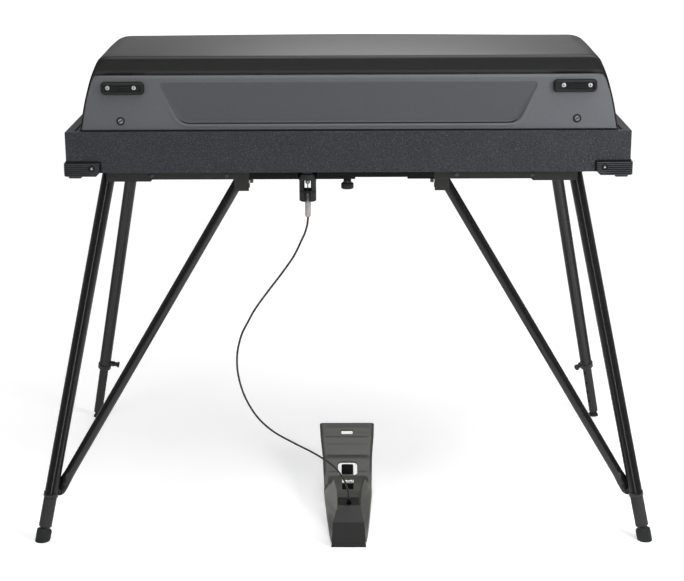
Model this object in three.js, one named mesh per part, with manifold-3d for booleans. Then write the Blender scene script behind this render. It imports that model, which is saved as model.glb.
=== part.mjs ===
// Stage electric piano on four splayed legs, with a cable-worked sustain pedal.
// Millimetres, +Z up. The origin is on the floor, midway between the feet.
// The back of the piano faces -Y and the player sits at +Y, so bass keys lie at +X.
import * as THREE from 'three';
import { mergeVertices } from 'three/addons/utils/BufferGeometryUtils.js';
import Module from 'manifold-3d';

const wasm = await Module();
wasm.setup();

// Clearances shared by pieces that meet
const seatGap = 0.3;
const cutOverrun = 5;
const mergeDistance = 0.01;
const gridStep = 0.001;
const roundSides = 16;
const tubeSides = 18;

// Case: an open tray of covered plywood, as long as the keys with a cheek block at each end, and
// as deep as the harp with the control panel and the keys ahead of it
const caseHeight = 85;
const caseUnderside = 779;
const caseShift = 13;
const caseRearY = -284;
const caseEndWall = 18;
const caseRearWall = 15;
const caseBoard = 12;
const ledgeHeight = 81;
const ledgeWidth = 12;

// Keys and the frame they rock on
const naturalCount = 43;
const naturalPitch = 23.5;
const keyGap = 1;
const naturalLength = 150;
const sharpLength = 100;
const keyTotalLength = 413;
const keyTop = 73;
const keyThick = 22;
const sharpRise = 12;
const sharpWidth = 11;
const sharpNose = 5;
const keyDip = 10;
const keySlipThick = 15;
const keySlipHeight = 63;
const slipToKey = 4;
const balanceFromFront = 240;
const balanceRailWidth = 12;
const frontRailFromFront = 26;
const railWidth = 20;
const backRailWidth = 14;
const keySpine = 6;
const spinePad = 30;
const stringerWidth = 40;
const stringerThick = 12;
const bumpRadius = 3;
const bumpSetback = 10;

// Hammers, their rail and the end supports of the action
const hammerAxisHeight = 93;
const hammerAxisSetBack = 8;
const hammerPivotLap = 1;
const hammerReach = 88;
const hammerButtDrop = 10;
const hammerButtLength = 26;
const hammerArmThick = 5;
const hammerWidth = 8;
const hammerHeadHeight = 22;
const hammerHeadLength = 12;
const hammerRailDepth = 18;
const hammerRailHeight = 22;
const supportThick = 8;
const supportClear = 2.5;
const supportRearR = 60;
const supportSetIn = 10;

// Tone bars with their tines, pickups and dampers
const tineHeight = 151;
const tineThick = 2;
const tineLongest = 157;
const tineShortest = 18;
const strikeR = 222;
const tineBehindStrikeShare = 0.36;
const toneBarThick = 3;
const toneBarWidth = 5;
const toneBarRise = 14;
const toneBarShare = 0.8;
const harpRailDepth = 18;
const harpWebSetIn = 1;
const harpEndSetIn = 2;
const pickupGap = 1.5;
const pickupLength = 9;
const pickupWidth = 8;
const pickupHeight = 9;
const pickupRailDepth = 22;
const pickupEndSetIn = 2;
const damperBarDepth = 20;
const damperBarHeight = 14;
const damperArmWidth = 2;
const damperArmThick = 3;
const damperPadWidth = 5;
const damperCount = 61;

// Control panel between keys and hood, with its knobs and preamplifier
const panelSheet = 3;
const panelBottom = 89;
const panelFace = 35;
const panelTopRise = 9;
const panelChamfer = 5;
const panelDepth = 57;
const knobRadius = 11;
const knobLength = 15;
const knobSkirt = 2;
const knobShaftRadius = 3;
const knobPitch = 62;
const knobFromEnd = 87;
const preampThick = 1.6;
const preampHeight = 28;
const preampMargin = 28;
const potSize = 14;
const potDepth = 8;

// Cheek blocks at the ends of the keys
const cheekWidth = 50.45;
const cheekFrontHeight = 81;
const cheekRearHeight = 88.7;
const cheekClear = 1;
const cheekSlopeAhead = 9;
const cheekNose = 10;

// Hood: a moulded shell with a separate rear panel
const hoodWall = 4;
const hoodRearR = 10;
const hoodEndClear = 9;
const hoodLipLap = 12;
const hoodRoomAhead = 21.02;
const hoodCreaseHeight = 233;
const hoodCreaseRadius = 9;
const hoodTopHeight = 251;
const hoodTopShare = 0.638;
const hoodShoulderSetIn = 58;
const hoodShoulderDrop = 26;
const hoodBandHeight = 195;
const hoodFlareSetIn = 26;
const hoodBaseSetIn = 8;
const hoodFlareHeight = 22;
const hoodBandSetIn = 25;
const hoodCreaseSetIn = 17;
const hoodTopSetIn = 37;
const rearPanelThick = 5;
const rearPanelMargin = 3;
const rearPanelSetIn = 3;
const recessDepth = 3;
const recessSetIn = 141;
const recessTaper = 25;
const recessTopHeight = 186;
const recessBottomHeight = 99;
const recessCorner = 14;

// Rubber bumpers on the rear panel
const bumperLength = 88;
const bumperHeight = 27;
const bumperProud = 10;
const bumperSetIn = 60;
const bumperCentreHeight = 172;
const bumperCorner = 9;
const bumperRibs = 4;
const bumperRibDepth = 1.2;

// Corner protectors of ribbed moulding
const protectorLength = 73;
const protectorWall = 4;
const protectorRise = 24;
const protectorDrop = 6;
const protectorFootDrop = 5;
const protectorFootLength = 26;
const protectorRibs = 5;
const protectorRibDepth = 1;
const protectorChamfer = 8;

// Rails, leg plates and brace blocks under the case
const railSetIn = 20;
const underRailDepth = 42;
const underRailThick = 18;
const railLap = 1;
const bridgeThick = 14;
const leftRailInner = 28;
const rightRailInner = 135;
const legPlateLength = 88;
const legPlateDepth = 74;
const legPlateThick = 22;
const legPlateOverlap = 1;
const braceBlockHalfX = 209.5;
const braceBlockWidth = 36;
const braceBlockDrop = 32;
const braceBlockWall = 5;
const braceBlockSlot = 27;

// Legs, measured from the middle of the stand and from the rear of the case
const legTopFromEnd = 92;
const legSplay = 157;
const legTopSetIn = 76;
const legFootOutset = 82;
const legRadius = 14;
const legWall = 2.4;
const collarRadius = 15.5;
const collarHeight = 10;
const rearCollarLow = 93;
const rearSleeveLow = 30;
const footRadius = 17;
const footHeight = 24;
const footNeckRadius = 6;
const footNeckLength = 26;

// Braces between the rear legs and the blocks
const braceRadius = 11;
const braceLugBeside = 13.1;
const braceLugAhead = 12.5;
const braceLugHeight = 96;
const braceTopDrop = 33;
const braceTopR = 41;
const braceLugWidth = 20;
const braceLugThick = 6;
const braceLugLength = 46;
const braceBoltRadius = 4;

// Telescopic front legs
const clampLow = 141;
const clampHeight = 30;
const clampRadius = 16.5;
const slideRadius = 10.8;
const slideWall = 2;
const slideInside = 190;
const slideLow = 13;
const slideHolePitch = 28;
const slideHoleRadius = 3.6;
const slideHoleCount = 5;
const slideHoleFirst = 34;
const glideRadius = 14;
const glideHeight = 7;
const glideBallRadius = 5;
const glideBallHeight = 15;
const glideNeckRadius = 3;
const plungerBossRadius = 7;
const plungerBossLength = 24;
const plungerNoseRadius = 3;
const plungerKnobRadius = 7.5;
const plungerKnobLength = 12;
const plungerFlareShare = 0.7;
const plungerTurnLeftShare = 0;
const plungerTurnRightShare = 0.22;

// Thumbscrew, cable bracket and pull rod under the case
const thumbX = 11.5;
const thumbKnobRadius = 13;
const thumbKnobHeight = 13;
const thumbStemRadius = 6;
const thumbStemLength = 33;
const thumbKnurls = 18;
const thumbKnurlShare = 0.93;
const cableExitX = -70.5;
const cableExitR = 38;
const bracketRadius = 17.5;
const bracketBore = 13;
const bracketLength = 71;
const bracketCollar = 24;
const bracketCollarFloor = 5;
const bracketHead = 8;
const bracketPost = 9;
const bracketClear = 1.8;
const adjusterRadius = 6;
const adjusterLength = 30;
const adjusterFlange = 3;
const adjusterTipShare = 0.8;
const rodRadius = 3;
const rodClear = 1;
const rodWireShare = 0.4;
const rodConnectorRadius = 4.7;
const rodConnectorLength = 23;
const rodConnectorLow = 31;
const rodConnectorNeckShare = 0.6;
const rodConnectorChamfer = 2;
const rodTravel = 8;

// Sustain pedal on the floor, measured from its own centre line and the rear of the case
const pedalX = 12;
const toeFrontR = -118;
const toeTopR = -30;
const toeHeight = 57;
const toeFootHalf = 36.8;
const toeTopHalf = 33;
const toeBackHalf = 23.5;
const toeWall = 2.5;
const toeSkirtHeight = 22;
const pedalBaseThick = 3;
const pedalBaseLap = 1;
const pedalBaseHalf = 27;
const pedalBaseEndR = 152;
const pedalEarThick = 4;
const pedalEarHalf = 24;
const pedalPinR = -95;
const pedalPinHeight = 18;
const pedalPinRadius = 4;
const pedalKnuckleRadius = 8;
const glandR = 0;
const glandTop = 56;
const glandRadius = 8;
const glandTipRadius = 4;
const glandPostHalf = 9;
const glandPostThick = 5;
const treadleThick = 3;
const treadleSlotWidth = 26;
const treadleSlotLength = 14;
const treadleSlotFromEnd = 16;
const treadleWindowWidth = 43;
const treadleWindowLength = 42;
const treadleWindowSetIn = 2;
const treadleWindowSideShare = 0.7;
const treadleTongueLength = 30;
const treadleStripSlotLength = 7;
const springWire = 1.6;
const springRadius = 8;
const springTurns = 8;
const springR = 138;
const springStepsPerTurn = 8;
const springRise = 53;

// Treadle sheet: each row across it is [distance along, fold half-width, fold height,
// crease half-width, crease height, edge half-width, edge height]
const treadleRows = [
  [-80, 28, 12, 34, 12, 41, 12],
  [-30, 26.5, 14, 36, 18, 44.5, 24],
  [22, 25.5, 17, 37, 27, 48.5, 38],
  [54, 25, 20, 38, 34, 51, 46],
  [62, 25.2, 23, 39, 36, 51.5, 48],
  [90, 27, 38, 44.4, 53.8, 52.7, 53.8],
  [123, 36, 60.7, 45, 60.7, 54, 60.7],
  [190, 37, 74.6, 46, 74.6, 56, 74.6],
  [200, 37, 78, 46, 78, 56.3, 78],
  [290, 40, 94, 50, 94, 62, 94],
  [337, 41, 105, 52, 105, 64, 105],
];

// Sustain cable, and the points that it passes from the adjuster to the pedal
const cableDiameter = 4.2;
const cableRoute = [
  [-70.5, -246, 677.4], [-72.3, -246, 661], [-77.5, -246.7, 643], [-84.5, -248, 628],
  [-101, -253, 595], [-126, -260, 560], [-155, -271, 524], [-181, -281, 490], [-197, -288, 463],
  [-212, -294, 433], [-221, -301, 392], [-219, -305, 348], [-206, -307, 302], [-182, -306, 258],
  [-149, -302, 223], [-105, -297, 194], [-68, -292.5, 172], [-41, -289, 153], [-18, -286.5, 133],
  [-1, -285, 109], [9, -284.2, 82], [12, -284, 56.6],
];

const black = 0x2c2d2e;
const tolexGrey = 0x3e3f42;
const steelBlack = 0x2e2e2e;
const brightSteel = 0xb9b8b5;

const forward = new THREE.Vector3(0, 1, 0);
const upward = new THREE.Vector3(0, 0, 1);
const sideways = new THREE.Vector3(1, 0, 0);

// A three.js geometry as a solid. Its corners are set on a fine grid, so that faces meant to lie
// in one plane do, and corners in one place are merged.
function solid(geometry) {
  const plain = geometry.clone();
  plain.deleteAttribute('normal');
  plain.deleteAttribute('uv');
  const places = plain.attributes.position.array;
  places.forEach((value, place) => {
    places[place] = Math.round(value / gridStep) * gridStep;
  });
  const merged = mergeVertices(plain, gridStep / 2);
  const corners = merged.index.array;
  const kept = [];
  for (let i = 0; i < corners.length; i += 3) {
    const [a, b, c] = [corners[i], corners[i + 1], corners[i + 2]];
    if (a !== b && b !== c && a !== c) kept.push(a, b, c);
  }
  const vertProperties = new Float32Array(merged.attributes.position.array);
  const triVerts = new Uint32Array(kept);
  return new wasm.Manifold(new wasm.Mesh({ numProp: 3, vertProperties, triVerts }));
}

function joined(first, ...others) {
  return others.reduce((sum, next) => sum.add(next), first);
}

function block(x0, x1, y0, y1, z0, z1) {
  const box = new THREE.BoxGeometry(x1 - x0, y1 - y0, z1 - z0);
  box.translate((x0 + x1) / 2, (y0 + y1) / 2, (z0 + z1) / 2);
  return solid(box);
}

// A closed outline through the points, where a point that repeats the one before it counts once
function outline(points) {
  const distinct = points.filter(([u, v], place) => {
    const [lastU, lastV] = points[(place + points.length - 1) % points.length];
    return Math.hypot(u - lastU, v - lastV) > mergeDistance;
  });
  return new THREE.Shape(distinct.map(([u, v]) => new THREE.Vector2(u, v)));
}

function extruded(shape, depth) {
  return new THREE.ExtrudeGeometry(shape, { depth, bevelEnabled: false, curveSegments: 6 });
}

// A plan outline (x, y) raised from z0 to z1
function raised(shape, z0, z1) {
  return solid(extruded(shape, z1 - z0).translate(0, 0, z0));
}

// A side outline (y, z) carried from x0 to x1
function carriedX(shape, x0, x1) {
  const turn = new THREE.Matrix4().makeBasis(forward, upward, sideways);
  return solid(extruded(shape, x1 - x0).applyMatrix4(turn).translate(x0, 0, 0));
}

// A front outline (x, z) carried from y0 to y1
function carriedY(shape, y0, y1) {
  const turn = new THREE.Matrix4().makeBasis(sideways, upward, forward.clone().negate());
  return solid(extruded(shape, y1 - y0).applyMatrix4(turn).translate(0, y1, 0));
}

// Four points of a straight tooth, walked towards -X
function squareTooth(centre, width, foot, tip) {
  return [[centre + width / 2, foot], [centre + width / 2, tip], [centre - width / 2, tip],
    [centre - width / 2, foot]];
}

// A profile of [radius, height] pairs, closed on itself or on the axis, turned about Z
function turned(profile, sides = roundSides) {
  const points = profile.map(([radius, height]) => new THREE.Vector2(radius, height));
  const lathe = new THREE.LatheGeometry([...points, points[0]], sides);
  return solid(lathe.rotateX(Math.PI / 2));
}

function rod(radius, z0, z1, sides = roundSides) {
  return turned([[0, z0], [radius, z0], [radius, z1], [0, z1]], sides);
}

// A solid made about Z, moved so that its Z axis starts at a point and runs along a direction
function aimed(body, start, direction, turnAbout = 0) {
  const swing = new THREE.Quaternion().setFromUnitVectors(upward, direction.clone().normalize());
  const spin = new THREE.Quaternion().setFromAxisAngle(upward, turnAbout);
  const place = new THREE.Matrix4().compose(start, swing.multiply(spin), new THREE.Vector3(1, 1, 1));
  return body.transform(place.elements);
}

function mirrored(body) {
  return body.mirror([1, 0, 0]);
}

function meshOf(name, body, colour, roughness, metalness = 0) {
  const data = body.getMesh();
  const geometry = new THREE.BufferGeometry();
  const positions = new THREE.BufferAttribute(new Float32Array(data.vertProperties), 3);
  geometry.setAttribute('position', positions);
  geometry.setIndex(new THREE.BufferAttribute(new Uint32Array(data.triVerts), 1));
  const faceted = geometry.toNonIndexed();
  faceted.computeVertexNormals();
  const material = new THREE.MeshStandardMaterial({ color: colour, roughness, metalness });
  const mesh = new THREE.Mesh(faceted, material);
  mesh.name = name;
  return mesh;
}

const piano = new THREE.Group();
const instrument = new THREE.Group();
instrument.position.set(caseShift, caseRearY, caseUnderside);
const stand = new THREE.Group();
stand.position.set(0, caseRearY, 0);
const pedal = new THREE.Group();
pedal.position.set(pedalX, caseRearY, 0);
piano.add(instrument, stand, pedal);

const keySpan = naturalCount * naturalPitch;
const keyHalf = keySpan / 2;
const caseInnerHalf = keyHalf + keyGap + cheekWidth + seatGap;
const caseHalf = caseInnerHalf + caseEndWall;
const pickupReachR = strikeR + (1 - tineBehindStrikeShare) * tineLongest + pickupGap + pickupLength
  + pickupRailDepth;
const hoodLipR = pickupReachR + hoodRoomAhead;
const panelRearR = hoodLipR - hoodLipLap;
const fallR = panelRearR + panelDepth;
const keyFrontR = fallR + naturalLength;
const keyRearR = keyFrontR - keyTotalLength;
const caseDepth = keyFrontR + slipToKey + keySlipThick;
const hoodEndR = panelRearR - hoodEndClear;
const hoodShoulderR = hoodLipR - hoodShoulderSetIn;
const hoodTopR = hoodLipR * hoodTopShare;
const cheekRearR = hoodEndR + cheekClear;
const cheekSlopeR = fallR + cheekSlopeAhead;
const supportFrontR = hoodEndR - supportSetIn;
const knobFirstX = caseInnerHalf - knobFromEnd;
const balanceR = keyFrontR - balanceFromFront;
const keyUnderside = keyTop - keyThick;

// Case
function caseBody() {
  const tray = block(-caseHalf, caseHalf, 0, caseDepth, 0, caseHeight);
  const pocketTop = caseHeight + cutOverrun;
  const pocketRearR = caseRearWall;
  const pocket = block(-caseInnerHalf, caseInnerHalf, pocketRearR, caseDepth + cutOverrun,
    caseBoard, pocketTop);
  let body = tray.subtract(pocket);
  for (const side of [-1, 1]) {
    const inner = side * (caseInnerHalf - ledgeWidth);
    const outer = side * (caseInnerHalf + cutOverrun);
    body = body.add(block(Math.min(inner, outer), Math.max(inner, outer),
      caseRearWall - cutOverrun, hoodEndR, caseBoard - cutOverrun, ledgeHeight));
  }
  const rodHole = rod(rodRadius + rodClear, -cutOverrun, caseBoard + cutOverrun);
  return body.subtract(rodHole.translate([cableExitX - caseShift, cableExitR, 0]));
}
instrument.add(meshOf('case_body', caseBody(), tolexGrey, 0.75));

function keySlip() {
  const half = caseInnerHalf - seatGap;
  const rear = caseDepth - keySlipThick;
  const nose = cheekNose / 2;
  const profile = outline([[rear, caseBoard + seatGap], [caseDepth, caseBoard + seatGap],
    [caseDepth, keySlipHeight - nose], [caseDepth - nose, keySlipHeight], [rear, keySlipHeight]]);
  return carriedX(profile, -half, half);
}
instrument.add(meshOf('key_slip', keySlip(), tolexGrey, 0.75));

function cheekBlock() {
  const inner = keyHalf + keyGap;
  const outer = caseInnerHalf - seatGap;
  const front = caseDepth - keySlipThick - seatGap;
  const foot = caseBoard + seatGap;
  const shape = outline([[cheekRearR, foot], [front, foot], [front, cheekFrontHeight - cheekNose]]);
  shape.quadraticCurveTo(front, cheekFrontHeight, front - cheekNose, cheekFrontHeight);
  shape.lineTo(cheekSlopeR + cheekNose, cheekFrontHeight);
  shape.lineTo(cheekSlopeR, cheekRearHeight);
  shape.lineTo(cheekRearR, cheekRearHeight);
  return carriedX(shape, inner, outer);
}
instrument.add(meshOf('cheek_block_right', cheekBlock(), steelBlack, 0.5));
instrument.add(meshOf('cheek_block_left', mirrored(cheekBlock()), steelBlack, 0.5));

// Ribbed protector round one lower corner, drawn for the rear corner at +X
function cornerProtector() {
  const face = caseHalf + seatGap;
  const outer = face + protectorWall;
  const inner = outer - protectorLength;
  const rear = -seatGap;
  const outRear = rear - protectorWall;
  const plan = outline([[inner, rear], [inner, outRear], [outer, outRear],
    [outer, outRear + protectorLength], [face, outRear + protectorLength], [face, rear]]);
  let body = raised(plan, -protectorDrop, protectorRise);
  const plate = outline([[inner, outRear], [outer, outRear], [outer, outRear + protectorLength],
    [face - protectorWall, outRear + protectorLength], [inner, rear + protectorWall]]);
  body = body.add(raised(plate, -protectorDrop, -seatGap));
  const footEnd = outer - protectorChamfer;
  const foot = block(footEnd - protectorFootLength, footEnd, rear, rear + protectorFootLength,
    -protectorDrop - protectorFootDrop, -protectorDrop + protectorRibDepth);
  body = body.add(foot);
  const pitch = (protectorRise + protectorDrop) / (protectorRibs + 1);
  for (let rib = 1; rib <= protectorRibs; rib += 1) {
    const low = rib * pitch - protectorDrop;
    const groove = pitch / 4;
    body = body.subtract(block(inner - cutOverrun, outer + cutOverrun,
      outRear - cutOverrun, outRear + protectorRibDepth, low, low + groove));
    body = body.subtract(block(outer - protectorRibDepth, outer + cutOverrun,
      outRear - cutOverrun, outRear + protectorLength + cutOverrun, low, low + groove));
  }
  return body;
}
const protector = cornerProtector();
const frontProtector = protector.mirror([0, 1, 0]).translate([0, caseDepth, 0]);
instrument.add(meshOf('corner_protector_rear_right', protector, black, 0.6));
instrument.add(meshOf('corner_protector_rear_left', mirrored(protector), black, 0.6));
instrument.add(meshOf('corner_protector_front_right', frontProtector, black, 0.6));
instrument.add(meshOf('corner_protector_front_left', mirrored(frontProtector), black, 0.6));

// Keyboard: each key's slot across the keyboard follows the octave's layout from E to E
const octaveNaturals = 7;
const lowGroupKeys = 5;
const highGroupKeys = 7;
const lowGroupSpan = 3 * naturalPitch;
const highGroupSpan = 4 * naturalPitch;
const semitones = 12;
const firstSemitone = 4;
const sharpSemitones = [1, 3, 6, 8, 10];
const keyCount = 73;
const movingKeys = new Map([[32, 'c4'], [33, 'c_sharp4'], [34, 'd4'], [35, 'd_sharp4'], [36, 'e4']]);

// The slot edges of one semitone inside its octave, measured from the octave's C
function slotInOctave(semitone) {
  const lowPitch = lowGroupSpan / lowGroupKeys;
  const highPitch = highGroupSpan / highGroupKeys;
  if (semitone < lowGroupKeys) return [semitone * lowPitch, (semitone + 1) * lowPitch];
  const step = semitone - lowGroupKeys;
  return [lowGroupSpan + step * highPitch, lowGroupSpan + (step + 1) * highPitch];
}

function keyLayout(index) {
  const absolute = firstSemitone + index;
  const semitone = absolute % semitones;
  const octave = Math.floor(absolute / semitones);
  const sharp = sharpSemitones.includes(semitone);
  const naturalsBefore = semitone - sharpSemitones.filter((s) => s < semitone).length;
  const firstE = 2 * naturalPitch;
  const octaveStart = octave * octaveNaturals * naturalPitch - firstE;
  const [low, high] = slotInOctave(semitone);
  const headLow = (octave * octaveNaturals + naturalsBefore) * naturalPitch - firstE;
  return {
    sharp,
    slot: [keyHalf - octaveStart - high, keyHalf - octaveStart - low],
    head: [keyHalf - headLow - naturalPitch, keyHalf - headLow],
  };
}
const keys = Array.from({ length: keyCount }, (_, index) => keyLayout(index));

const sharpNoseR = fallR + sharpLength;
const neckR = sharpNoseR + keyGap;

// A key's plan outline from its rear end forward, from its bass side to its treble side
function keyTooth({ sharp, slot, head }, index, rearR) {
  if (sharp) return squareTooth((slot[0] + slot[1]) / 2, sharpWidth, rearR, sharpNoseR);
  const half = keyGap / 2;
  const wide = [head[0] + half, head[1] - half];
  const low = Math.max(slot[0] + half, wide[0]);
  const high = index === 0 ? wide[1] : Math.min(slot[1] - half, wide[1]);
  return [[high, rearR], [high, neckR], [wide[1], neckR], [wide[1], keyFrontR],
    [wide[0], keyFrontR], [wide[0], neckR], [low, neckR], [low, rearR]];
}

// The raised part of a sharp, a little narrower than its foot and sloped at its nose
function sharpTop(key) {
  const centre = keyCentre(key);
  const foot = keyTop - keyGap;
  const nose = sharpNoseR - seatGap;
  const half = sharpWidth / 2 - seatGap;
  const profile = outline([[fallR - cutOverrun, foot], [nose, foot], [nose, keyTop],
    [nose - sharpNose, keyTop + sharpRise], [fallR - cutOverrun, keyTop + sharpRise]]);
  return carriedX(profile, centre - half, centre + half);
}

function keyBody(key, index) {
  const body = raised(outline(keyTooth(key, index, keyRearR)), keyUnderside, keyTop);
  return key.sharp ? body.add(sharpTop(key)) : body;
}

// Keys that stay at rest share a strip along their rear ends, which sits on the back rail
function keyRun(first, last) {
  const spineR = keyRearR + keySpine;
  const teeth = keys.slice(first, last + 1).map((key, place) => keyTooth(key, first + place, spineR));
  const edge = teeth.flat();
  const high = edge[0][0];
  const low = edge[edge.length - 1][0];
  const plan = outline([...edge, [low, keyRearR], [high, keyRearR]]);
  let body = raised(plan, keyUnderside, keyTop);
  for (const x of [low + spinePad, (low + high) / 2, high - spinePad]) {
    body = body.add(block(x - spinePad / 2, x + spinePad / 2, keyRearR + keySpine / 3,
      keyRearR + 2 * keySpine / 3, keyUnderside - keySpine / 3, keyUnderside + keySpine / 3));
  }
  keys.slice(first, last + 1).forEach((key) => {
    if (key.sharp) body = body.add(sharpTop(key));
  });
  return body;
}

function keyCentre({ slot }) {
  return (slot[0] + slot[1]) / 2;
}

// The rounded bump on a key's rear end that lifts its hammer
function keyBump(key) {
  const centre = keyCentre(key);
  const r = keyRearR + bumpSetback;
  const axis = hammerAxisHeight - hammerButtDrop - seatGap - bumpRadius;
  const shape = outline([[r - bumpRadius, keyTop - bumpRadius], [r + bumpRadius, keyTop - bumpRadius],
    [r + bumpRadius, axis]]);
  shape.absarc(r, axis, bumpRadius, 0, Math.PI);
  return carriedX(shape, centre - hammerWidth / 2, centre + hammerWidth / 2);
}

function keyboardFrame() {
  const half = keyHalf + keyGap / 2;
  const foot = caseBoard + seatGap;
  const balanceTop = keyUnderside - seatGap;
  const frontTop = keyUnderside - keyDip - seatGap;
  const frontR = keyFrontR - frontRailFromFront;
  const balance = block(-half, half, balanceR - balanceRailWidth / 2, balanceR + balanceRailWidth / 2,
    foot, balanceTop);
  const front = block(-half, half, frontR - railWidth / 2, frontR + railWidth / 2, foot, frontTop);
  const back = block(-half, half, keyRearR + seatGap, keyRearR + backRailWidth, foot, balanceTop);
  let body = joined(balance, front, back);
  for (const place of [-1, 0, 1]) {
    const x = place * (half - stringerWidth);
    body = body.add(block(x - stringerWidth / 2, x + stringerWidth / 2, keyRearR + backRailWidth / 2,
      frontR, foot, foot + stringerThick));
  }
  return body;
}

function keyboard() {
  const moving = [...movingKeys.keys()];
  const bassRun = keyRun(0, moving[0] - 1);
  const trebleRun = keyRun(moving[moving.length - 1] + 1, keyCount - 1);
  return joined(keyboardFrame(), bassRun, trebleRun);
}
instrument.add(meshOf('keyboard', keyboard(), 0xe9e6dc, 0.35));

for (const [index, label] of movingKeys) {
  const key = keys[index];
  const colour = key.sharp ? 0x1b1b1c : 0xe9e6dc;
  const body = joined(keyBody(key, index), keyBump(key));
  instrument.add(meshOf(`key_${label}`, body, colour, 0.35));
}

// Hammers: a butt over the key's bump, a slender arm and a head under the tine
const hammerAxisR = keyRearR - hammerAxisSetBack;
const hammerRailFrontR = hammerAxisR - hammerArmThick + hammerPivotLap;

function hammerBody(key) {
  const centre = keyCentre(key);
  const rear = hammerRailFrontR + seatGap;
  const low = hammerAxisHeight - hammerButtDrop;
  const armLow = hammerAxisHeight - hammerArmThick / 2;
  const armHigh = armLow + hammerArmThick;
  const buttEnd = rear + hammerButtLength;
  const tip = hammerAxisR + hammerReach;
  const headTop = armLow + hammerHeadHeight;
  const profile = outline([[rear, low], [buttEnd, low], [tip - hammerHeadLength, armLow],
    [tip, armLow], [tip, headTop], [tip - hammerHeadLength, headTop],
    [tip - hammerHeadLength, armHigh], [hammerAxisR, armHigh], [rear, armLow]]);
  return carriedX(profile, centre - hammerWidth / 2, centre + hammerWidth / 2);
}

function actionRail() {
  const inner = keyHalf + supportClear;
  const outer = inner + supportThick;
  const half = inner + supportThick / 2;
  const low = hammerAxisHeight - hammerButtDrop;
  const top = tineHeight + tineThick - seatGap;
  let body = block(-half, half, hammerRailFrontR - hammerRailDepth, hammerRailFrontR,
    low - hammerArmThick / 2, low + hammerRailHeight);
  const shape = outline([[supportRearR, caseBoard + seatGap], [supportFrontR, caseBoard + seatGap],
    [supportFrontR, top], [supportRearR, top]]);
  const support = carriedX(shape, inner, outer);
  body = joined(body, support, mirrored(support));
  keys.forEach((key, index) => {
    if (movingKeys.has(index)) return;
    body = body.add(hammerBody(key).translate([0, -2 * seatGap, 0]));
  });
  return body;
}
instrument.add(meshOf('action_rail', actionRail(), 0x8f8a80, 0.6));

for (const [index, label] of movingKeys) {
  instrument.add(meshOf(`hammer_${label}`, hammerBody(keys[index]), 0xcabb94, 0.6));
}

// Harp: a rail of tone bars, each with its tine in front of the strike line
function tineLength(index) {
  return tineLongest * (tineShortest / tineLongest) ** (index / (keyCount - 1));
}

function tineRootR(index) {
  return strikeR - tineBehindStrikeShare * tineLength(index);
}

const groupSize = 6;
const clearEnd = keyHalf - keyGap;
const supportedEnd = keyHalf + supportClear + supportThick;

// The keys in neighbouring groups, each with its run across the keyboard
const keyGroups = Array.from({ length: Math.floor(keyCount / groupSize) }, (_, group) => {
  const first = group * groupSize;
  const next = group === Math.floor(keyCount / groupSize) - 1 ? keyCount : first + groupSize;
  return {
    first,
    members: keys.slice(first, next).map((_key, place) => first + place),
    high: first === 0 ? clearEnd : keys[first].slot[1],
    low: next === keyCount ? -clearEnd : keys[next].slot[1],
  };
});

// The plan outline of a rail that steps back group by group, with a tooth for each key if wanted
function steppedRail(edgeOf, depth, toothOf = null) {
  const edge = [];
  const rear = [];
  for (const { first, members, high, low } of keyGroups) {
    const place = edgeOf(first);
    edge.push([high, place]);
    if (toothOf) members.forEach((index) => edge.push(...toothOf(index, place)));
    edge.push([low, place]);
    rear.push([high, place - depth], [low, place - depth]);
  }
  return outline([...edge, ...rear.reverse()]);
}

function harpEdge(index) {
  return tineRootR(index);
}

// The ends of a rail that rest on the action's end supports
function railEnds(bassR, trebleR, depth, z0, z1) {
  const inner = clearEnd - Math.abs(depth) / 2;
  const bass = block(inner, supportedEnd, Math.min(bassR, bassR - depth),
    Math.max(bassR, bassR - depth), z0, z1);
  const treble = block(-supportedEnd, -inner, Math.min(trebleR, trebleR - depth),
    Math.max(trebleR, trebleR - depth), z0, z1);
  return bass.add(treble);
}

function harp() {
  const top = tineHeight + tineThick;
  const barLow = tineHeight + toneBarRise;
  const barHigh = barLow + toneBarThick;
  const lastFirst = keyGroups[keyGroups.length - 1].first;
  const low = steppedRail(harpEdge, harpRailDepth, (index, foot) => squareTooth(
    keyCentre(keys[index]), toneBarWidth / 2, foot, tineRootR(index) + tineLength(index)));
  const high = steppedRail(harpEdge, harpRailDepth, (index, foot) => squareTooth(
    keyCentre(keys[index]), toneBarWidth, foot, tineRootR(index) + tineLength(index) * toneBarShare));
  const web = raised(steppedRail((index) => harpEdge(index) - harpWebSetIn,
    harpRailDepth - 2 * harpWebSetIn),
    top - tineThick / 2, barLow + toneBarThick / 2);
  const ends = railEnds(harpEdge(0) - harpEndSetIn, harpEdge(lastFirst) - harpEndSetIn,
    harpRailDepth - 2 * harpEndSetIn, top, barLow - tineThick);
  return joined(raised(low, tineHeight, top), raised(high, barLow, barHigh), web, ends);
}
instrument.add(meshOf('harp', harp(), brightSteel, 0.35, 0.9));

function tineTip(index) {
  return tineRootR(index) + tineLength(index);
}

function pickupRail() {
  const lastFirst = keyGroups[keyGroups.length - 1].first;
  const near = (index) => tineTip(index) + pickupGap + pickupLength;
  const low = tineHeight + tineThick / 2 - pickupHeight / 2;
  const top = low + pickupHeight;
  const plan = steppedRail(near, -pickupRailDepth, (index, foot) => squareTooth(
    keyCentre(keys[index]), pickupWidth, foot, tineTip(index) + pickupGap));
  const ends = railEnds(near(0) + pickupEndSetIn, near(lastFirst) + pickupEndSetIn,
    2 * pickupEndSetIn - pickupRailDepth, tineHeight + tineThick, top - tineThick / 2);
  return raised(plan, low, top).add(ends);
}
instrument.add(meshOf('pickup_rail', pickupRail(), 0x9a9a98, 0.5, 0.5));

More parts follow.
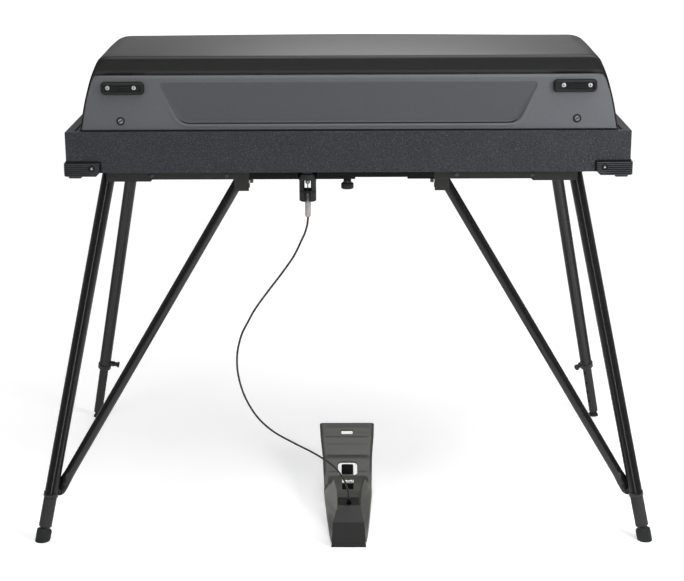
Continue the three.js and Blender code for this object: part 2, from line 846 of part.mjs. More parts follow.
// Damper rail: one arm and pad under each damped tine
function damperRail() {
  const top = tineHeight - seatGap;
  const half = clearEnd - toneBarWidth;
  const rear = cableExitR - damperBarDepth / 2;
  const front = cableExitR + damperBarDepth / 2;
  const bar = block(-half, half, rear, front, top - damperBarHeight, top - damperArmThick / 2);
  const edge = [[half, front]];
  for (let index = 0; index < damperCount; index += 1) {
    const centre = keyCentre(keys[index]);
    const pad = tineRootR(index) + tineLength(index) - damperPadWidth;
    const beside = centre + (naturalPitch - sharpWidth) / 2;
    edge.push([beside + damperArmWidth, front], [beside + damperArmWidth, pad], [centre, pad],
      [centre, pad - damperPadWidth], [beside, pad - damperPadWidth], [beside, front]);
  }
  const comb = outline([...edge.slice(edge[1][0] > half ? 1 : 0), [-half, front], [-half, rear],
    [half, rear]]);
  return bar.add(raised(comb, top - damperArmThick, top));
}
instrument.add(meshOf('damper_rail', damperRail(), 0x77726a, 0.7));

// Control panel
const panelFrontR = fallR;
const panelHoleClear = 0.5;
const knobHeights = panelBottom + panelFace / 2;
const knobNames = ['knob_volume', 'knob_bass', 'knob_treble'];

function controlPanel() {
  const half = caseInnerHalf - seatGap;
  const shoulder = panelBottom + panelFace;
  const top = shoulder + panelTopRise;
  const rear = panelFrontR - panelDepth;
  const inner = panelFrontR - panelSheet;
  const profile = outline([[panelFrontR, panelBottom], [panelFrontR, shoulder],
    [panelFrontR - panelChamfer, shoulder + panelChamfer], [rear, top],
    [rear, top - panelSheet], [inner - panelChamfer, shoulder + panelChamfer - panelSheet],
    [inner, shoulder - panelSheet / 2], [inner, panelBottom]]);
  let body = carriedX(profile, -half, half);
  knobNames.forEach((_, place) => {
    const hole = rod(knobShaftRadius + panelHoleClear, -panelSheet * 2, panelSheet);
    const x = knobFirstX - place * knobPitch;
    body = body.subtract(aimed(hole, new THREE.Vector3(x, panelFrontR, knobHeights), forward));
  });
  return body;
}
instrument.add(meshOf('control_panel', controlPanel(), steelBlack, 0.4, 0.3));

function knob() {
  const flutes = 12;
  const shape = new THREE.Shape();
  for (let step = 0; step < 2 * flutes; step += 1) {
    const radius = knobRadius - (step % 2) * knobSkirt / 2;
    const angle = Math.PI * step / flutes;
    const point = [radius * Math.cos(angle), radius * Math.sin(angle)];
    if (step === 0) shape.moveTo(...point);
    else shape.lineTo(...point);
  }
  const skirt = rod(knobRadius + knobSkirt, seatGap, seatGap + knobSkirt);
  const shaft = rod(knobShaftRadius, -panelSheet, knobSkirt, 12);
  return joined(raised(shape, knobSkirt, knobLength), skirt, shaft);
}
knobNames.forEach((name, place) => {
  const start = new THREE.Vector3(knobFirstX - place * knobPitch, panelFrontR, knobHeights);
  instrument.add(meshOf(name, aimed(knob(), start, forward), 0x1f1f20, 0.35));
});

function preampBoard() {
  const faceR = panelFrontR - panelSheet - seatGap;
  const first = knobFirstX + preampMargin;
  const last = knobFirstX - (knobNames.length - 1) * knobPitch - preampMargin;
  const low = knobHeights - preampHeight / 2;
  let body = block(last, first, faceR - potDepth - preampThick, faceR - potDepth, low,
    low + preampHeight);
  knobNames.forEach((_, place) => {
    const x = knobFirstX - place * knobPitch;
    body = body.add(block(x - potSize / 2, x + potSize / 2, faceR - potDepth - preampThick / 2, faceR,
      knobHeights - potSize / 2, knobHeights + potSize / 2));
  });
  return body;
}
instrument.add(meshOf('preamp_board', preampBoard(), 0x2f5a3c, 0.5));

// Hood: side outline and end outline are carried along X and Y, and the shell is what they share
const hoodSeat = ledgeHeight + seatGap;
const hoodFlareHalf = caseHalf - hoodFlareSetIn;
const hoodBaseHalf = hoodFlareHalf - hoodBaseSetIn;
const hoodBandHalf = hoodBaseHalf - hoodBandSetIn;
const hoodCreaseHalf = hoodBandHalf - hoodCreaseSetIn;
const hoodTopHalf = hoodCreaseHalf - hoodTopSetIn;
const recessTopHalf = hoodBandHalf - recessSetIn;
const recessBottomHalf = recessTopHalf - recessTaper;

function hoodSideShape(inset) {
  const lipHeight = panelBottom + panelFace + panelTopRise + seatGap;
  const rear = hoodRearR + inset;
  const crease = hoodCreaseHeight - inset;
  const top = hoodTopHeight - inset;
  const lip = hoodLipR - inset;
  const foot = inset > 0 ? -cutOverrun : hoodSeat;
  const shape = new THREE.Shape();
  shape.moveTo(rear, foot);
  if (inset > 0) {
    shape.lineTo(lip, foot);
  } else {
    shape.lineTo(hoodEndR, foot);
    shape.lineTo(hoodEndR, lipHeight);
    shape.lineTo(lip, lipHeight);
  }
  shape.lineTo(lip, lipHeight + hoodShoulderDrop);
  shape.quadraticCurveTo(lip, top - hoodShoulderDrop, hoodShoulderR, top - hoodShoulderDrop / 3);
  shape.quadraticCurveTo((hoodShoulderR + hoodTopR) / 2, top, hoodTopR, top);
  shape.quadraticCurveTo(hoodTopR / 2, top, rear + hoodCreaseRadius, crease);
  shape.quadraticCurveTo(rear, crease, rear, crease - hoodCreaseRadius);
  return shape;
}

// Half of the hood's width narrows with height: a flared foot, a straight side and a rounded top
function hoodEndShape(inset, topHeight, footHeightAt) {
  const shape = new THREE.Shape();
  const full = topHeight >= hoodTopHeight;
  const flareTop = hoodSeat + hoodFlareHeight;
  const right = [[hoodFlareHalf - inset, footHeightAt], [hoodFlareHalf - inset, hoodSeat],
    [hoodBaseHalf - inset, flareTop], [hoodBandHalf - inset, hoodBandHeight]];
  shape.moveTo(...right[0]);
  right.slice(1).forEach((point) => shape.lineTo(...point));
  if (full) {
    shape.lineTo(hoodCreaseHalf - inset, hoodCreaseHeight);
    shape.quadraticCurveTo(hoodCreaseHalf - (hoodCreaseHalf - hoodTopHalf) / 3 - inset,
      topHeight - inset, hoodTopHalf - inset, topHeight - inset);
    shape.lineTo(inset - hoodTopHalf, topHeight - inset);
    shape.quadraticCurveTo(inset - hoodCreaseHalf + (hoodCreaseHalf - hoodTopHalf) / 3,
      topHeight - inset, inset - hoodCreaseHalf, hoodCreaseHeight);
  }
  right.reverse().forEach(([x, z]) => shape.lineTo(-x, z));
  return shape;
}

function hoodShell() {
  const outer = carriedX(hoodSideShape(0), -hoodFlareHalf, hoodFlareHalf)
    .intersect(carriedY(hoodEndShape(0, hoodTopHeight, hoodSeat), 0, hoodLipR + cutOverrun));
  const inner = carriedX(hoodSideShape(hoodWall), -hoodFlareHalf, hoodFlareHalf)
    .intersect(carriedY(hoodEndShape(hoodWall, hoodTopHeight, -cutOverrun), 0,
      hoodLipR + cutOverrun));
  const opening = carriedY(hoodEndShape(rearPanelMargin, hoodBandHeight, -cutOverrun),
    hoodRearR - cutOverrun, hoodRearR + hoodWall + cutOverrun);
  const caseStep = block(-caseHalf, caseHalf, -cutOverrun, caseRearWall + seatGap,
    -cutOverrun, caseHeight + seatGap);
  return outer.subtract(inner).subtract(opening).subtract(caseStep);
}
instrument.add(meshOf('hood_shell', hoodShell(), black, 0.45));

function hoodRearPanel() {
  const outlineShape = hoodEndShape(rearPanelMargin + seatGap, hoodBandHeight - seatGap,
    -cutOverrun);
  const rear = hoodRearR - rearPanelSetIn + seatGap;
  const front = rear + rearPanelThick;
  const kept = block(-caseHalf, caseHalf, 0, caseDepth, caseHeight + seatGap,
    hoodBandHeight - seatGap);
  const plate = carriedY(outlineShape, rear, front).intersect(kept);
  const recess = new THREE.Shape();
  recess.moveTo(-recessTopHalf, recessTopHeight);
  recess.lineTo(-recessBottomHalf, recessBottomHeight + recessCorner);
  recess.quadraticCurveTo(-recessBottomHalf, recessBottomHeight,
    recessCorner - recessBottomHalf, recessBottomHeight);
  recess.lineTo(recessBottomHalf - recessCorner, recessBottomHeight);
  recess.quadraticCurveTo(recessBottomHalf, recessBottomHeight,
    recessBottomHalf, recessBottomHeight + recessCorner);
  recess.lineTo(recessTopHalf, recessTopHeight);
  return plate.subtract(carriedY(recess, rear - cutOverrun, rear + recessDepth));
}
instrument.add(meshOf('hood_rear_panel', hoodRearPanel(), 0x5c5d60, 0.5));

// Bumper: a rounded bar with grooves along its face
function rearBumper() {
  const half = bumperLength / 2;
  const tall = bumperHeight / 2;
  const shape = new THREE.Shape();
  shape.moveTo(bumperCorner - half, -tall);
  shape.lineTo(half - bumperCorner, -tall);
  shape.quadraticCurveTo(half, -tall, half, bumperCorner - tall);
  shape.lineTo(half, tall - bumperCorner);
  shape.quadraticCurveTo(half, tall, half - bumperCorner, tall);
  shape.lineTo(bumperCorner - half, tall);
  shape.quadraticCurveTo(-half, tall, -half, tall - bumperCorner);
  shape.lineTo(-half, bumperCorner - tall);
  shape.quadraticCurveTo(-half, -tall, bumperCorner - half, -tall);
  const back = hoodRearR - rearPanelSetIn;
  let body = carriedY(shape, back - bumperProud, back);
  const pitch = (bumperHeight - bumperCorner) / bumperRibs;
  for (let rib = 0; rib < bumperRibs; rib += 1) {
    const low = (rib + 1 / 3) * pitch - (bumperHeight - bumperCorner) / 2;
    body = body.subtract(block(-half / 2, half / 2, back - bumperProud - cutOverrun,
      back - bumperProud + bumperRibDepth, low, low + pitch / 3));
  }
  return body.translate([hoodBandHalf - bumperSetIn, 0, bumperCentreHeight]);
}
instrument.add(meshOf('rear_bumper_right', rearBumper(), black, 0.7));
instrument.add(meshOf('rear_bumper_left', mirrored(rearBumper()), black, 0.7));

// Legs: each runs from the underside of the case out to its foot
const legTopX = caseHalf - legTopFromEnd;
const legFootX = legTopX + legSplay;

function legLine(front) {
  const topR = front ? caseDepth - legTopSetIn : legTopSetIn;
  const footR = front ? caseDepth + legFootOutset : -legFootOutset;
  const top = new THREE.Vector3(legTopX, topR, caseUnderside);
  const foot = new THREE.Vector3(legFootX, footR, 0);
  const down = foot.clone().sub(top).normalize();
  const slope = -1 / down.z;
  const distanceAt = (height) => (caseUnderside - height) * slope;
  const pointAt = (height) => top.clone().addScaledVector(down, distanceAt(height));
  return { top, down, distanceAt, pointAt };
}
const rearLine = legLine(false);
const frontLine = legLine(true);
const farOut = 2 * caseHalf;

function trimmed(body, low, high) {
  return body.intersect(block(-farOut, farOut, -farOut, farOut, low, high));
}

// A profile of [radius, height] pairs turned about a leg's own line
function legTurned(line, profile) {
  const along = profile.map(([radius, height]) => [radius, line.distanceAt(height)]);
  return aimed(turned(along.reverse(), tubeSides), line.top, line.down);
}

const plateFaceX = legTopX - legRadius + legPlateOverlap;

function rearLeg() {
  const high = caseUnderside + legRadius;
  const collarHigh = rearCollarLow + collarHeight;
  const boreTop = rearSleeveLow + footNeckLength;
  const bore = footNeckRadius + seatGap;
  const tube = legTurned(rearLine, [[0, high], [0, boreTop], [bore, boreTop], [bore, rearSleeveLow],
    [legRadius, rearSleeveLow], [legRadius, rearCollarLow], [collarRadius, rearCollarLow],
    [collarRadius, collarHigh], [legRadius, collarHigh], [legRadius, high]]);
  return trimmed(tube, 0, caseUnderside - seatGap);
}
stand.add(meshOf('rear_leg_right', rearLeg(), steelBlack, 0.35, 0.4));
stand.add(meshOf('rear_leg_left', mirrored(rearLeg()), steelBlack, 0.35, 0.4));

function rearFoot() {
  const neckTop = rearSleeveLow + footNeckLength / 2;
  const waist = (footRadius + footNeckRadius) / 2;
  const waistTop = (rearSleeveLow + footHeight) / 2;
  const foot = legTurned(rearLine, [[0, neckTop], [0, -footRadius], [footRadius, -footRadius],
    [footRadius, footHeight], [waist, waistTop], [footNeckRadius, waistTop],
    [footNeckRadius, neckTop]]);
  return trimmed(foot, 0, caseUnderside);
}
stand.add(meshOf('rear_foot_right', rearFoot(), 0x232323, 0.8));
stand.add(meshOf('rear_foot_left', mirrored(rearFoot()), 0x232323, 0.8));

// The plate and socket that hold the top of a leg, cut clear of the leg
function legPlate(line, front) {
  const outer = plateFaceX + legRadius;
  const inner = outer - legPlateLength - legRadius;
  const rear = front ? caseDepth - railSetIn - legPlateDepth : railSetIn;
  const low = caseUnderside - legPlateThick;
  const high = caseUnderside - seatGap;
  const shape = outline([[inner + legPlateThick / 2, low], [outer, low], [outer, high], [inner, high],
    [inner, low + legPlateThick / 2]]);
  const plate = carriedY(shape, rear, rear + legPlateDepth);
  const hole = legRadius + seatGap;
  return plate.subtract(legTurned(line, [[0, high + hole], [0, low - hole], [hole, low - hole],
    [hole, high + hole]]));
}
stand.add(meshOf('front_leg_plate_right', legPlate(frontLine, true), steelBlack, 0.5, 0.3));
stand.add(meshOf('front_leg_plate_left', mirrored(legPlate(frontLine, true)), steelBlack, 0.5, 0.3));

// The rear rail carries its leg plate and the forked block that holds the brace. A thinner bridge
// joins the left rail to the right one, and a notch lets the cable bracket past.
const railMiddleR = railSetIn + underRailDepth / 2;

function rearRail(innerX) {
  const high = caseUnderside - seatGap;
  const outer = plateFaceX + legRadius - legPlateLength;
  const rail = block(innerX, outer, railSetIn, railSetIn + underRailDepth,
    caseUnderside - underRailThick, high);
  const low = caseUnderside - underRailThick - braceBlockDrop;
  const fork = block(braceBlockHalfX - braceBlockWidth / 2, braceBlockHalfX + braceBlockWidth / 2,
    braceTopR - braceBlockSlot / 2 - braceBlockWall, braceTopR + braceBlockSlot / 2 + braceBlockWall,
    low, caseUnderside - underRailThick + railLap);
  const slot = block(braceBlockHalfX - braceBlockWidth, braceBlockHalfX + braceBlockWidth,
    braceTopR - braceBlockSlot / 2, braceTopR + braceBlockSlot / 2,
    low - cutOverrun, caseUnderside - underRailThick - braceBlockWall);
  return joined(rail, legPlate(rearLine, false), fork.subtract(slot));
}
const screwHole = rod(thumbStemRadius + seatGap, caseUnderside - underRailThick * 2,
  caseUnderside + cutOverrun).translate([thumbX, railMiddleR, 0]);
const bridge = block(leftRailInner - bridgeThick, rightRailInner - seatGap, railSetIn,
  railSetIn + underRailDepth, caseUnderside - bridgeThick, caseUnderside - seatGap);
const notchHalf = bracketRadius + bracketClear;
const bracketNotch = block(cableExitX - notchHalf, cableExitX + notchHalf, railSetIn - cutOverrun,
  cableExitR + notchHalf, caseUnderside - 2 * underRailThick, caseUnderside + cutOverrun);
const leftRail = mirrored(rearRail(-leftRailInner)).add(bridge).subtract(screwHole)
  .subtract(bracketNotch);
stand.add(meshOf('rear_rail_right', rearRail(rightRailInner), steelBlack, 0.5, 0.3));
stand.add(meshOf('rear_rail_left', leftRail, steelBlack, 0.5, 0.3));

// Brace: a tube with a bolt in the fork above and a flat lug against the leg below
function brace() {
  const top = new THREE.Vector3(braceBlockHalfX, braceTopR, caseUnderside - braceTopDrop);
  const low = rearLine.pointAt(braceLugHeight);
  low.x -= braceLugBeside;
  low.y += braceLugAhead;
  const down = low.clone().sub(top);
  const length = down.length();
  const lugStart = length - braceLugLength;
  const tube = aimed(turned([[0, 0], [braceRadius, 0], [braceRadius, lugStart],
    [braceLugWidth / 2, lugStart + braceLugThick], [0, lugStart + braceLugThick]]), top, down);
  const lug = aimed(block(-braceLugThick / 2, braceLugThick / 2, -braceLugWidth / 2,
    braceLugWidth / 2, lugStart - braceLugThick, length + braceLugWidth / 2), top, down);
  const boltHalf = braceBlockSlot / 2 - seatGap;
  const bolt = aimed(rod(braceBoltRadius, -boltHalf, boltHalf, 12), top, forward);
  const clear = collarRadius + seatGap;
  const legSpace = legTurned(rearLine, [[0, caseUnderside / 2], [0, 0], [clear, 0],
    [clear, caseUnderside / 2]]);
  return joined(tube, lug, bolt).subtract(legSpace);
}
stand.add(meshOf('brace_right', brace(), steelBlack, 0.35, 0.4));
stand.add(meshOf('brace_left', mirrored(brace()), steelBlack, 0.35, 0.4));

// Front leg: an outer tube with a clamp collar and the boss of its index plunger
const plungerHeight = clampLow + clampHeight / 2;
const bossClear = 0.4;

function plungerAim(turnShare) {
  const centre = frontLine.pointAt(plungerHeight);
  const inward = new THREE.Vector3(-Math.cos(turnShare * Math.PI), -Math.sin(turnShare * Math.PI), 0);
  inward.addScaledVector(frontLine.down, -inward.dot(frontLine.down)).normalize();
  return { centre, inward };
}

function frontTube(turnShare) {
  const bore = slideRadius + seatGap;
  const high = caseUnderside + legRadius;
  const clampHigh = clampLow + clampHeight;
  const tube = legTurned(frontLine, [[bore, high], [bore, clampLow], [clampRadius, clampLow],
    [clampRadius, clampHigh], [legRadius, clampHigh], [legRadius, high]]);
  const { centre, inward } = plungerAim(turnShare);
  const boss = aimed(rod(plungerBossRadius, bore + legWall, plungerBossLength), centre, inward);
  const hole = aimed(rod(plungerNoseRadius + bossClear, 0, plungerBossLength + cutOverrun),
    centre, inward);
  return trimmed(tube.add(boss).subtract(hole), 0, caseUnderside - seatGap);
}

function plunger(turnShare) {
  const { centre, inward } = plungerAim(turnShare);
  const start = slideRadius + 2 * seatGap;
  const seat = plungerBossLength + seatGap;
  const flare = plungerKnobRadius * plungerFlareShare;
  const profile = [[0, start], [plungerNoseRadius, start], [plungerNoseRadius, seat],
    [flare, seat], [flare, seat + plungerKnobLength / 3], [plungerKnobRadius,
      seat + plungerKnobLength], [0, seat + plungerKnobLength]];
  return aimed(turned(profile, 16), centre, inward);
}

// Sliding lower tube with its row of index holes and a cup for the glide's ball
function frontSlide(turnShare) {
  const high = clampLow + slideInside;
  const plugTop = slideLow + slideHoleFirst / 2;
  const inside = slideRadius - slideWall;
  let body = legTurned(frontLine, [[inside, high], [inside, plugTop], [0, plugTop], [0, slideLow],
    [slideRadius, slideLow], [slideRadius, high]]);
  const { inward } = plungerAim(turnShare);
  for (let place = 0; place < slideHoleCount; place += 1) {
    const distance = frontLine.distanceAt(slideLow) - slideHoleFirst - place * slideHolePitch;
    const centre = frontLine.top.clone().addScaledVector(frontLine.down, distance);
    body = body.subtract(aimed(rod(slideHoleRadius, 0, legRadius, 8), centre, inward));
  }
  return body.subtract(slideCup());
}

function slideBottomCentre() {
  return frontLine.pointAt(glideBallHeight);
}

function slideCup() {
  const radius = glideBallRadius + 2 * seatGap;
  const dome = [0, 1, 2, 3].map((step) => {
    const angle = Math.PI * step / 6;
    return [radius * Math.cos(angle), radius * Math.sin(angle)];
  });
  return turned([[0, -glideBallHeight], [radius, -glideBallHeight], ...dome], 12)
    .translate(slideBottomCentre().toArray());
}

// Glide: a flat disc on the floor, turned up to a neck and a ball
function frontFoot() {
  const centre = slideBottomCentre();
  const edge = glideHeight / 3;
  const disc = turned([[0, 0], [glideRadius - edge, 0], [glideRadius, edge],
    [glideRadius, glideHeight - edge], [glideRadius - edge, glideHeight], [0, glideHeight]]);
  const neck = rod(glideNeckRadius, glideHeight / 2, glideBallHeight, 12);
  const ball = solid(new THREE.SphereGeometry(glideBallRadius, 12, 6))
    .translate([0, 0, glideBallHeight]);
  return joined(disc, neck, ball).translate([centre.x, centre.y, 0]);
}

for (const [side, share] of [['right', plungerTurnRightShare], ['left', plungerTurnLeftShare]]) {
  const placed = side === 'right' ? (body) => body : mirrored;
  stand.add(meshOf(`front_leg_tube_${side}`, placed(frontTube(share)), steelBlack, 0.35, 0.4));
  stand.add(meshOf(`front_leg_slide_${side}`, placed(frontSlide(share)), steelBlack, 0.35, 0.4));
  stand.add(meshOf(`plunger_${side}`, placed(plunger(share)), 0x242424, 0.5));
  stand.add(meshOf(`front_foot_${side}`, placed(frontFoot()), 0x242424, 0.7));
}

// Thumbscrew under the case
function thumbscrew() {
  const shape = new THREE.Shape();
  for (let step = 0; step < 2 * thumbKnurls; step += 1) {
    const radius = thumbKnobRadius * (step % 2 ? thumbKnurlShare : 1);
    const angle = Math.PI * step / thumbKnurls;
    const point = [radius * Math.cos(angle), radius * Math.sin(angle)];
    if (step === 0) shape.moveTo(...point);
    else shape.lineTo(...point);
  }
  const top = caseUnderside - seatGap;
  const low = top - thumbStemLength;
  const stem = turned([[0, low - seatGap], [thumbStemRadius, low - seatGap], [thumbStemRadius, top],
    [0, top]], 16);
  const head = raised(shape, low - thumbKnobHeight, low);
  return joined(stem, head).translate([thumbX, railMiddleR, 0]);
}
stand.add(meshOf('rail_thumbscrew', thumbscrew(), 0x2b2b2b, 0.5));

// Cable bracket: a turned cage whose window shows the pull rod's connector
const bracketTop = caseUnderside - seatGap;
const bracketLow = bracketTop - bracketLength;

function cableBracket() {
  const bore = bracketBore;
  const floorTop = bracketLow + bracketCollarFloor;
  const hole = adjusterRadius + seatGap;
  const cage = turned([[hole, bracketLow], [bracketRadius, bracketLow], [bracketRadius, bracketTop],
    [bore, bracketTop], [bore, floorTop], [hole, floorTop]], tubeSides);
  const halfWindow = bracketRadius - bracketPost;
  const window = block(-halfWindow, halfWindow, -bracketRadius * 2, bracketRadius * 2,
    bracketLow + bracketCollar, bracketTop - bracketHead);
  return cage.subtract(window).translate([cableExitX, cableExitR, 0]);
}
stand.add(meshOf('cable_bracket', cableBracket(), 0x242424, 0.5));

function cableAdjuster() {
  const seat = bracketLow - seatGap;
  const low = bracketLow - adjusterLength;
  const top = bracketLow + bracketCollarFloor + adjusterFlange;
  const bore = rodRadius;
  const profile = [[bore, low], [adjusterRadius * adjusterTipShare, low], [adjusterRadius, low + adjusterFlange],
    [adjusterRadius, seat], [adjusterRadius, top], [bore, top]];
  return turned(profile, 16).translate([cableExitX, cableExitR, 0]);
}
stand.add(meshOf('cable_adjuster', cableAdjuster(), 0xb8b4b4, 0.4, 0.3));

// Pull rod: rises through the case to the damper rail, with a bright connector in the cage
function pullRod() {
  const top = caseUnderside + tineHeight - damperBarHeight - 2 * seatGap;
  const low = bracketTop - rodConnectorLow;
  const connectorTop = low + rodConnectorLength;
  const wireLow = bracketLow + bracketCollarFloor + adjusterFlange + rodTravel;
  const wire = rodRadius * rodWireShare;
  const neck = rodConnectorRadius * rodConnectorNeckShare;
  const profile = [[0, wireLow], [wire, wireLow], [wire, low], [neck, low],
    [rodConnectorRadius, low + rodConnectorChamfer], [rodConnectorRadius, connectorTop],
    [rodRadius, connectorTop + rodConnectorChamfer], [rodRadius, top], [0, top]];
  return turned(profile, 12).translate([cableExitX, cableExitR, 0]);
}
stand.add(meshOf('pull_rod', pullRod(), brightSteel, 0.3, 0.9));

// Sustain cable: one smooth curve from the adjuster down to the pedal's gland
function pedalCable() {
  const curve = new THREE.CatmullRomCurve3(cableRoute.map((point) => new THREE.Vector3(...point)));
  const sides = 8;
  const shape = new THREE.Shape();
  for (let side = 0; side < sides; side += 1) {
    const angle = 2 * Math.PI * side / sides;
    const point = [cableDiameter / 2 * Math.cos(angle), cableDiameter / 2 * Math.sin(angle)];
    if (side === 0) shape.moveTo(...point);
    else shape.lineTo(...point);
  }
  const steps = 72;
  return solid(new THREE.ExtrudeGeometry(shape, { extrudePath: curve, steps, bevelEnabled: false }));
}
piano.add(meshOf('pedal_cable', pedalCable(), 0x2f2e2c, 0.5));

// Pedal base: floor plate, two ears for the hinge pin and the post of the cable gland
function pedalBase() {
  let body = block(-pedalBaseHalf, pedalBaseHalf, toeFrontR + toeWall + seatGap, pedalBaseEndR,
    0, pedalBaseThick);
  const earTop = pedalPinHeight + pedalKnuckleRadius;
  for (const side of [-1, 1]) {
    const inner = side * (pedalEarHalf - pedalEarThick);
    const outer = side * pedalEarHalf;
    const ear = block(Math.min(inner, outer), Math.max(inner, outer), pedalPinR - pedalKnuckleRadius,
      pedalPinR + pedalKnuckleRadius, pedalBaseThick - pedalBaseLap, earTop);
    body = body.add(ear);
  }
  const hole = aimed(rod(pedalPinRadius + seatGap, -pedalEarHalf - cutOverrun,
    pedalEarHalf + cutOverrun, 16), new THREE.Vector3(0, pedalPinR, pedalPinHeight), sideways);
  body = body.subtract(hole);
  const post = block(-glandPostHalf, glandPostHalf, glandR - glandPostThick / 2,
    glandR + glandPostThick / 2, pedalBaseThick - pedalBaseLap, glandTop - glandRadius);
  const gland = turned([[0, glandTop - 2 * glandRadius], [glandRadius, glandTop - 2 * glandRadius],
    [glandRadius, glandTop - glandRadius], [glandTipRadius, glandTop - seatGap],
    [0, glandTop - seatGap]], 16).translate([0, glandR, 0]);
  return joined(body, post, gland);
}
pedal.add(meshOf('pedal_base', pedalBase(), 0x2c2c2a, 0.6));

// Toe cover: a tapered box, open below, that narrows towards the treadle
function toeSolid(inset) {
  const front = toeFrontR + inset;
  const back = toeTopR - inset;
  const top = toeHeight - inset;
  const foot = inset > 0 ? -cutOverrun : 0;
  const corners = [];
  const rings = [[foot, toeFootHalf - inset, toeTopHalf - inset],
    [top, toeTopHalf - inset, toeBackHalf - inset]];
  for (const [z, frontHalf, backHalf] of rings) {
    corners.push([-frontHalf, front, z], [frontHalf, front, z], [backHalf, back, z],
      [-backHalf, back, z]);
  }
  const faces = [0, 2, 1, 0, 3, 2, 4, 5, 6, 4, 6, 7, 0, 1, 5, 0, 5, 4, 1, 2, 6, 1, 6, 5,
    2, 3, 7, 2, 7, 6, 3, 0, 4, 3, 4, 7];
  const geometry = new THREE.BufferGeometry();
  geometry.setAttribute('position', new THREE.Float32BufferAttribute(corners.flat(), 3));
  geometry.setIndex(faces);
  return solid(geometry);
}

function toeCover() {
  const underSides = block(-toeFootHalf * 2, toeFootHalf * 2, toeFrontR + toeWall, toeTopR + cutOverrun,
    -cutOverrun, toeSkirtHeight);
  return toeSolid(0).subtract(toeSolid(toeWall)).subtract(underSides);
}
pedal.add(meshOf('pedal_toe_cover', toeCover(), 0x3a3a3a, 0.5));

// Treadle: one pressed sheet through the rows, with its slots and window cut out
function sheetFromRows(rows, thick) {
  const across = 6;
  const corners = [];
  for (const drop of [0, thick]) {
    for (const [y, fold, foldZ, crease, creaseZ, edge, edgeZ] of rows) {
      corners.push([-edge, y, edgeZ - drop], [-crease, y, creaseZ - drop], [-fold, y, foldZ - drop],
        [fold, y, foldZ - drop], [crease, y, creaseZ - drop], [edge, y, edgeZ - drop]);
    }
  }
  const under = rows.length * across;
  const faces = [];
  const quad = (a, b, c, d) => faces.push(a, b, c, a, c, d);
  for (let row = 0; row < rows.length - 1; row += 1) {
    for (let place = 0; place < across - 1; place += 1) {
      const a = row * across + place;
      quad(a, a + 1, a + 1 + across, a + across);
      quad(under + a, under + a + across, under + a + 1 + across, under + a + 1);
    }
    const left = row * across;
    const right = left + across - 1;
    quad(left, left + across, under + left + across, under + left);
    quad(right, under + right, under + right + across, right + across);
  }
  for (let place = 0; place < across - 1; place += 1) {
    const last = (rows.length - 1) * across + place;
    quad(place, under + place, under + place + 1, place + 1);
    quad(last, last + 1, under + last + 1, under + last);
  }
  const geometry = new THREE.BufferGeometry();
  geometry.setAttribute('position', new THREE.Float32BufferAttribute(corners.flat(), 3));
  geometry.setIndex(faces);
  return solid(geometry);
}

function treadle() {
  const end = treadleRows[treadleRows.length - 1];
  const sheet = sheetFromRows(treadleRows, treadleThick);
  const tall = [-cutOverrun, end[6] + cutOverrun];
  const slotEnd = end[0] - treadleSlotFromEnd;
  const halfSlot = treadleSlotWidth / 2;
  const slot = block(-halfSlot, halfSlot, slotEnd - treadleSlotLength, slotEnd, ...tall);
  const windowStart = treadleRows[6][0] + treadleWindowSetIn;
  const halfWindow = treadleWindowWidth / 2;
  const arch = new THREE.Shape();
  arch.moveTo(-halfWindow, windowStart);
  arch.lineTo(halfWindow, windowStart);
  arch.lineTo(halfWindow, windowStart + treadleWindowLength * treadleWindowSideShare);
  arch.quadraticCurveTo(halfWindow, windowStart + treadleWindowLength, halfSlot,
    windowStart + treadleWindowLength);
  arch.lineTo(-halfSlot, windowStart + treadleWindowLength);
  arch.quadraticCurveTo(-halfWindow, windowStart + treadleWindowLength, -halfWindow,
    windowStart + treadleWindowLength * treadleWindowSideShare);
  const tongue = block(-halfSlot, halfSlot, windowStart - cutOverrun,
    windowStart + treadleTongueLength, ...tall);
  const window = raised(arch, ...tall).subtract(tongue);
  const stripSlot = block(-halfSlot, halfSlot, treadleRows[6][0] - treadleWindowLength / 2,
    treadleRows[6][0] - treadleWindowLength / 2 + treadleStripSlotLength, ...tall);
  const cableOpening = block(-toeBackHalf + toeWall, toeBackHalf - toeWall, toeTopR + toeWall,
    treadleRows[3][0], ...tall);
  const knuckleHalf = pedalEarHalf - pedalEarThick - seatGap;
  const pinCentre = new THREE.Vector3(0, pedalPinR, pedalPinHeight);
  const knuckle = aimed(rod(pedalKnuckleRadius, -knuckleHalf, knuckleHalf), pinCentre, sideways);
  const strap = block(-knuckleHalf, knuckleHalf, pedalPinR, treadleRows[0][0] + cutOverrun,
    treadleRows[0][2] - treadleThick, treadleRows[0][2]);
  const bore = aimed(rod(pedalPinRadius + seatGap, -pedalEarHalf, pedalEarHalf, 16), pinCentre,
    sideways);
  const pressed = sheet.subtract(slot).subtract(window).subtract(stripSlot).subtract(cableOpening);
  return joined(pressed, knuckle, strap).subtract(bore);
}
pedal.add(meshOf('pedal_treadle', treadle(), 0x6a6a64, 0.5, 0.3));

function pedalPin() {
  const half = pedalEarHalf + pedalEarThick / 2;
  const start = new THREE.Vector3(0, pedalPinR, pedalPinHeight);
  return aimed(rod(pedalPinRadius, -half, half, 16), start, sideways);
}
pedal.add(meshOf('pedal_hinge_pin', pedalPin(), brightSteel, 0.3, 0.9));

// Return spring: one wire wound from the base plate up to the treadle
const springSides = 5;
const springLow = pedalBaseThick + seatGap + springWire / 2;

function springCentre(step) {
  const angle = 2 * Math.PI * step / springStepsPerTurn;
  const height = springLow + springRise * step / (springTurns * springStepsPerTurn);
  return new THREE.Vector3(springRadius * Math.cos(angle), springRadius * Math.sin(angle), height);
}

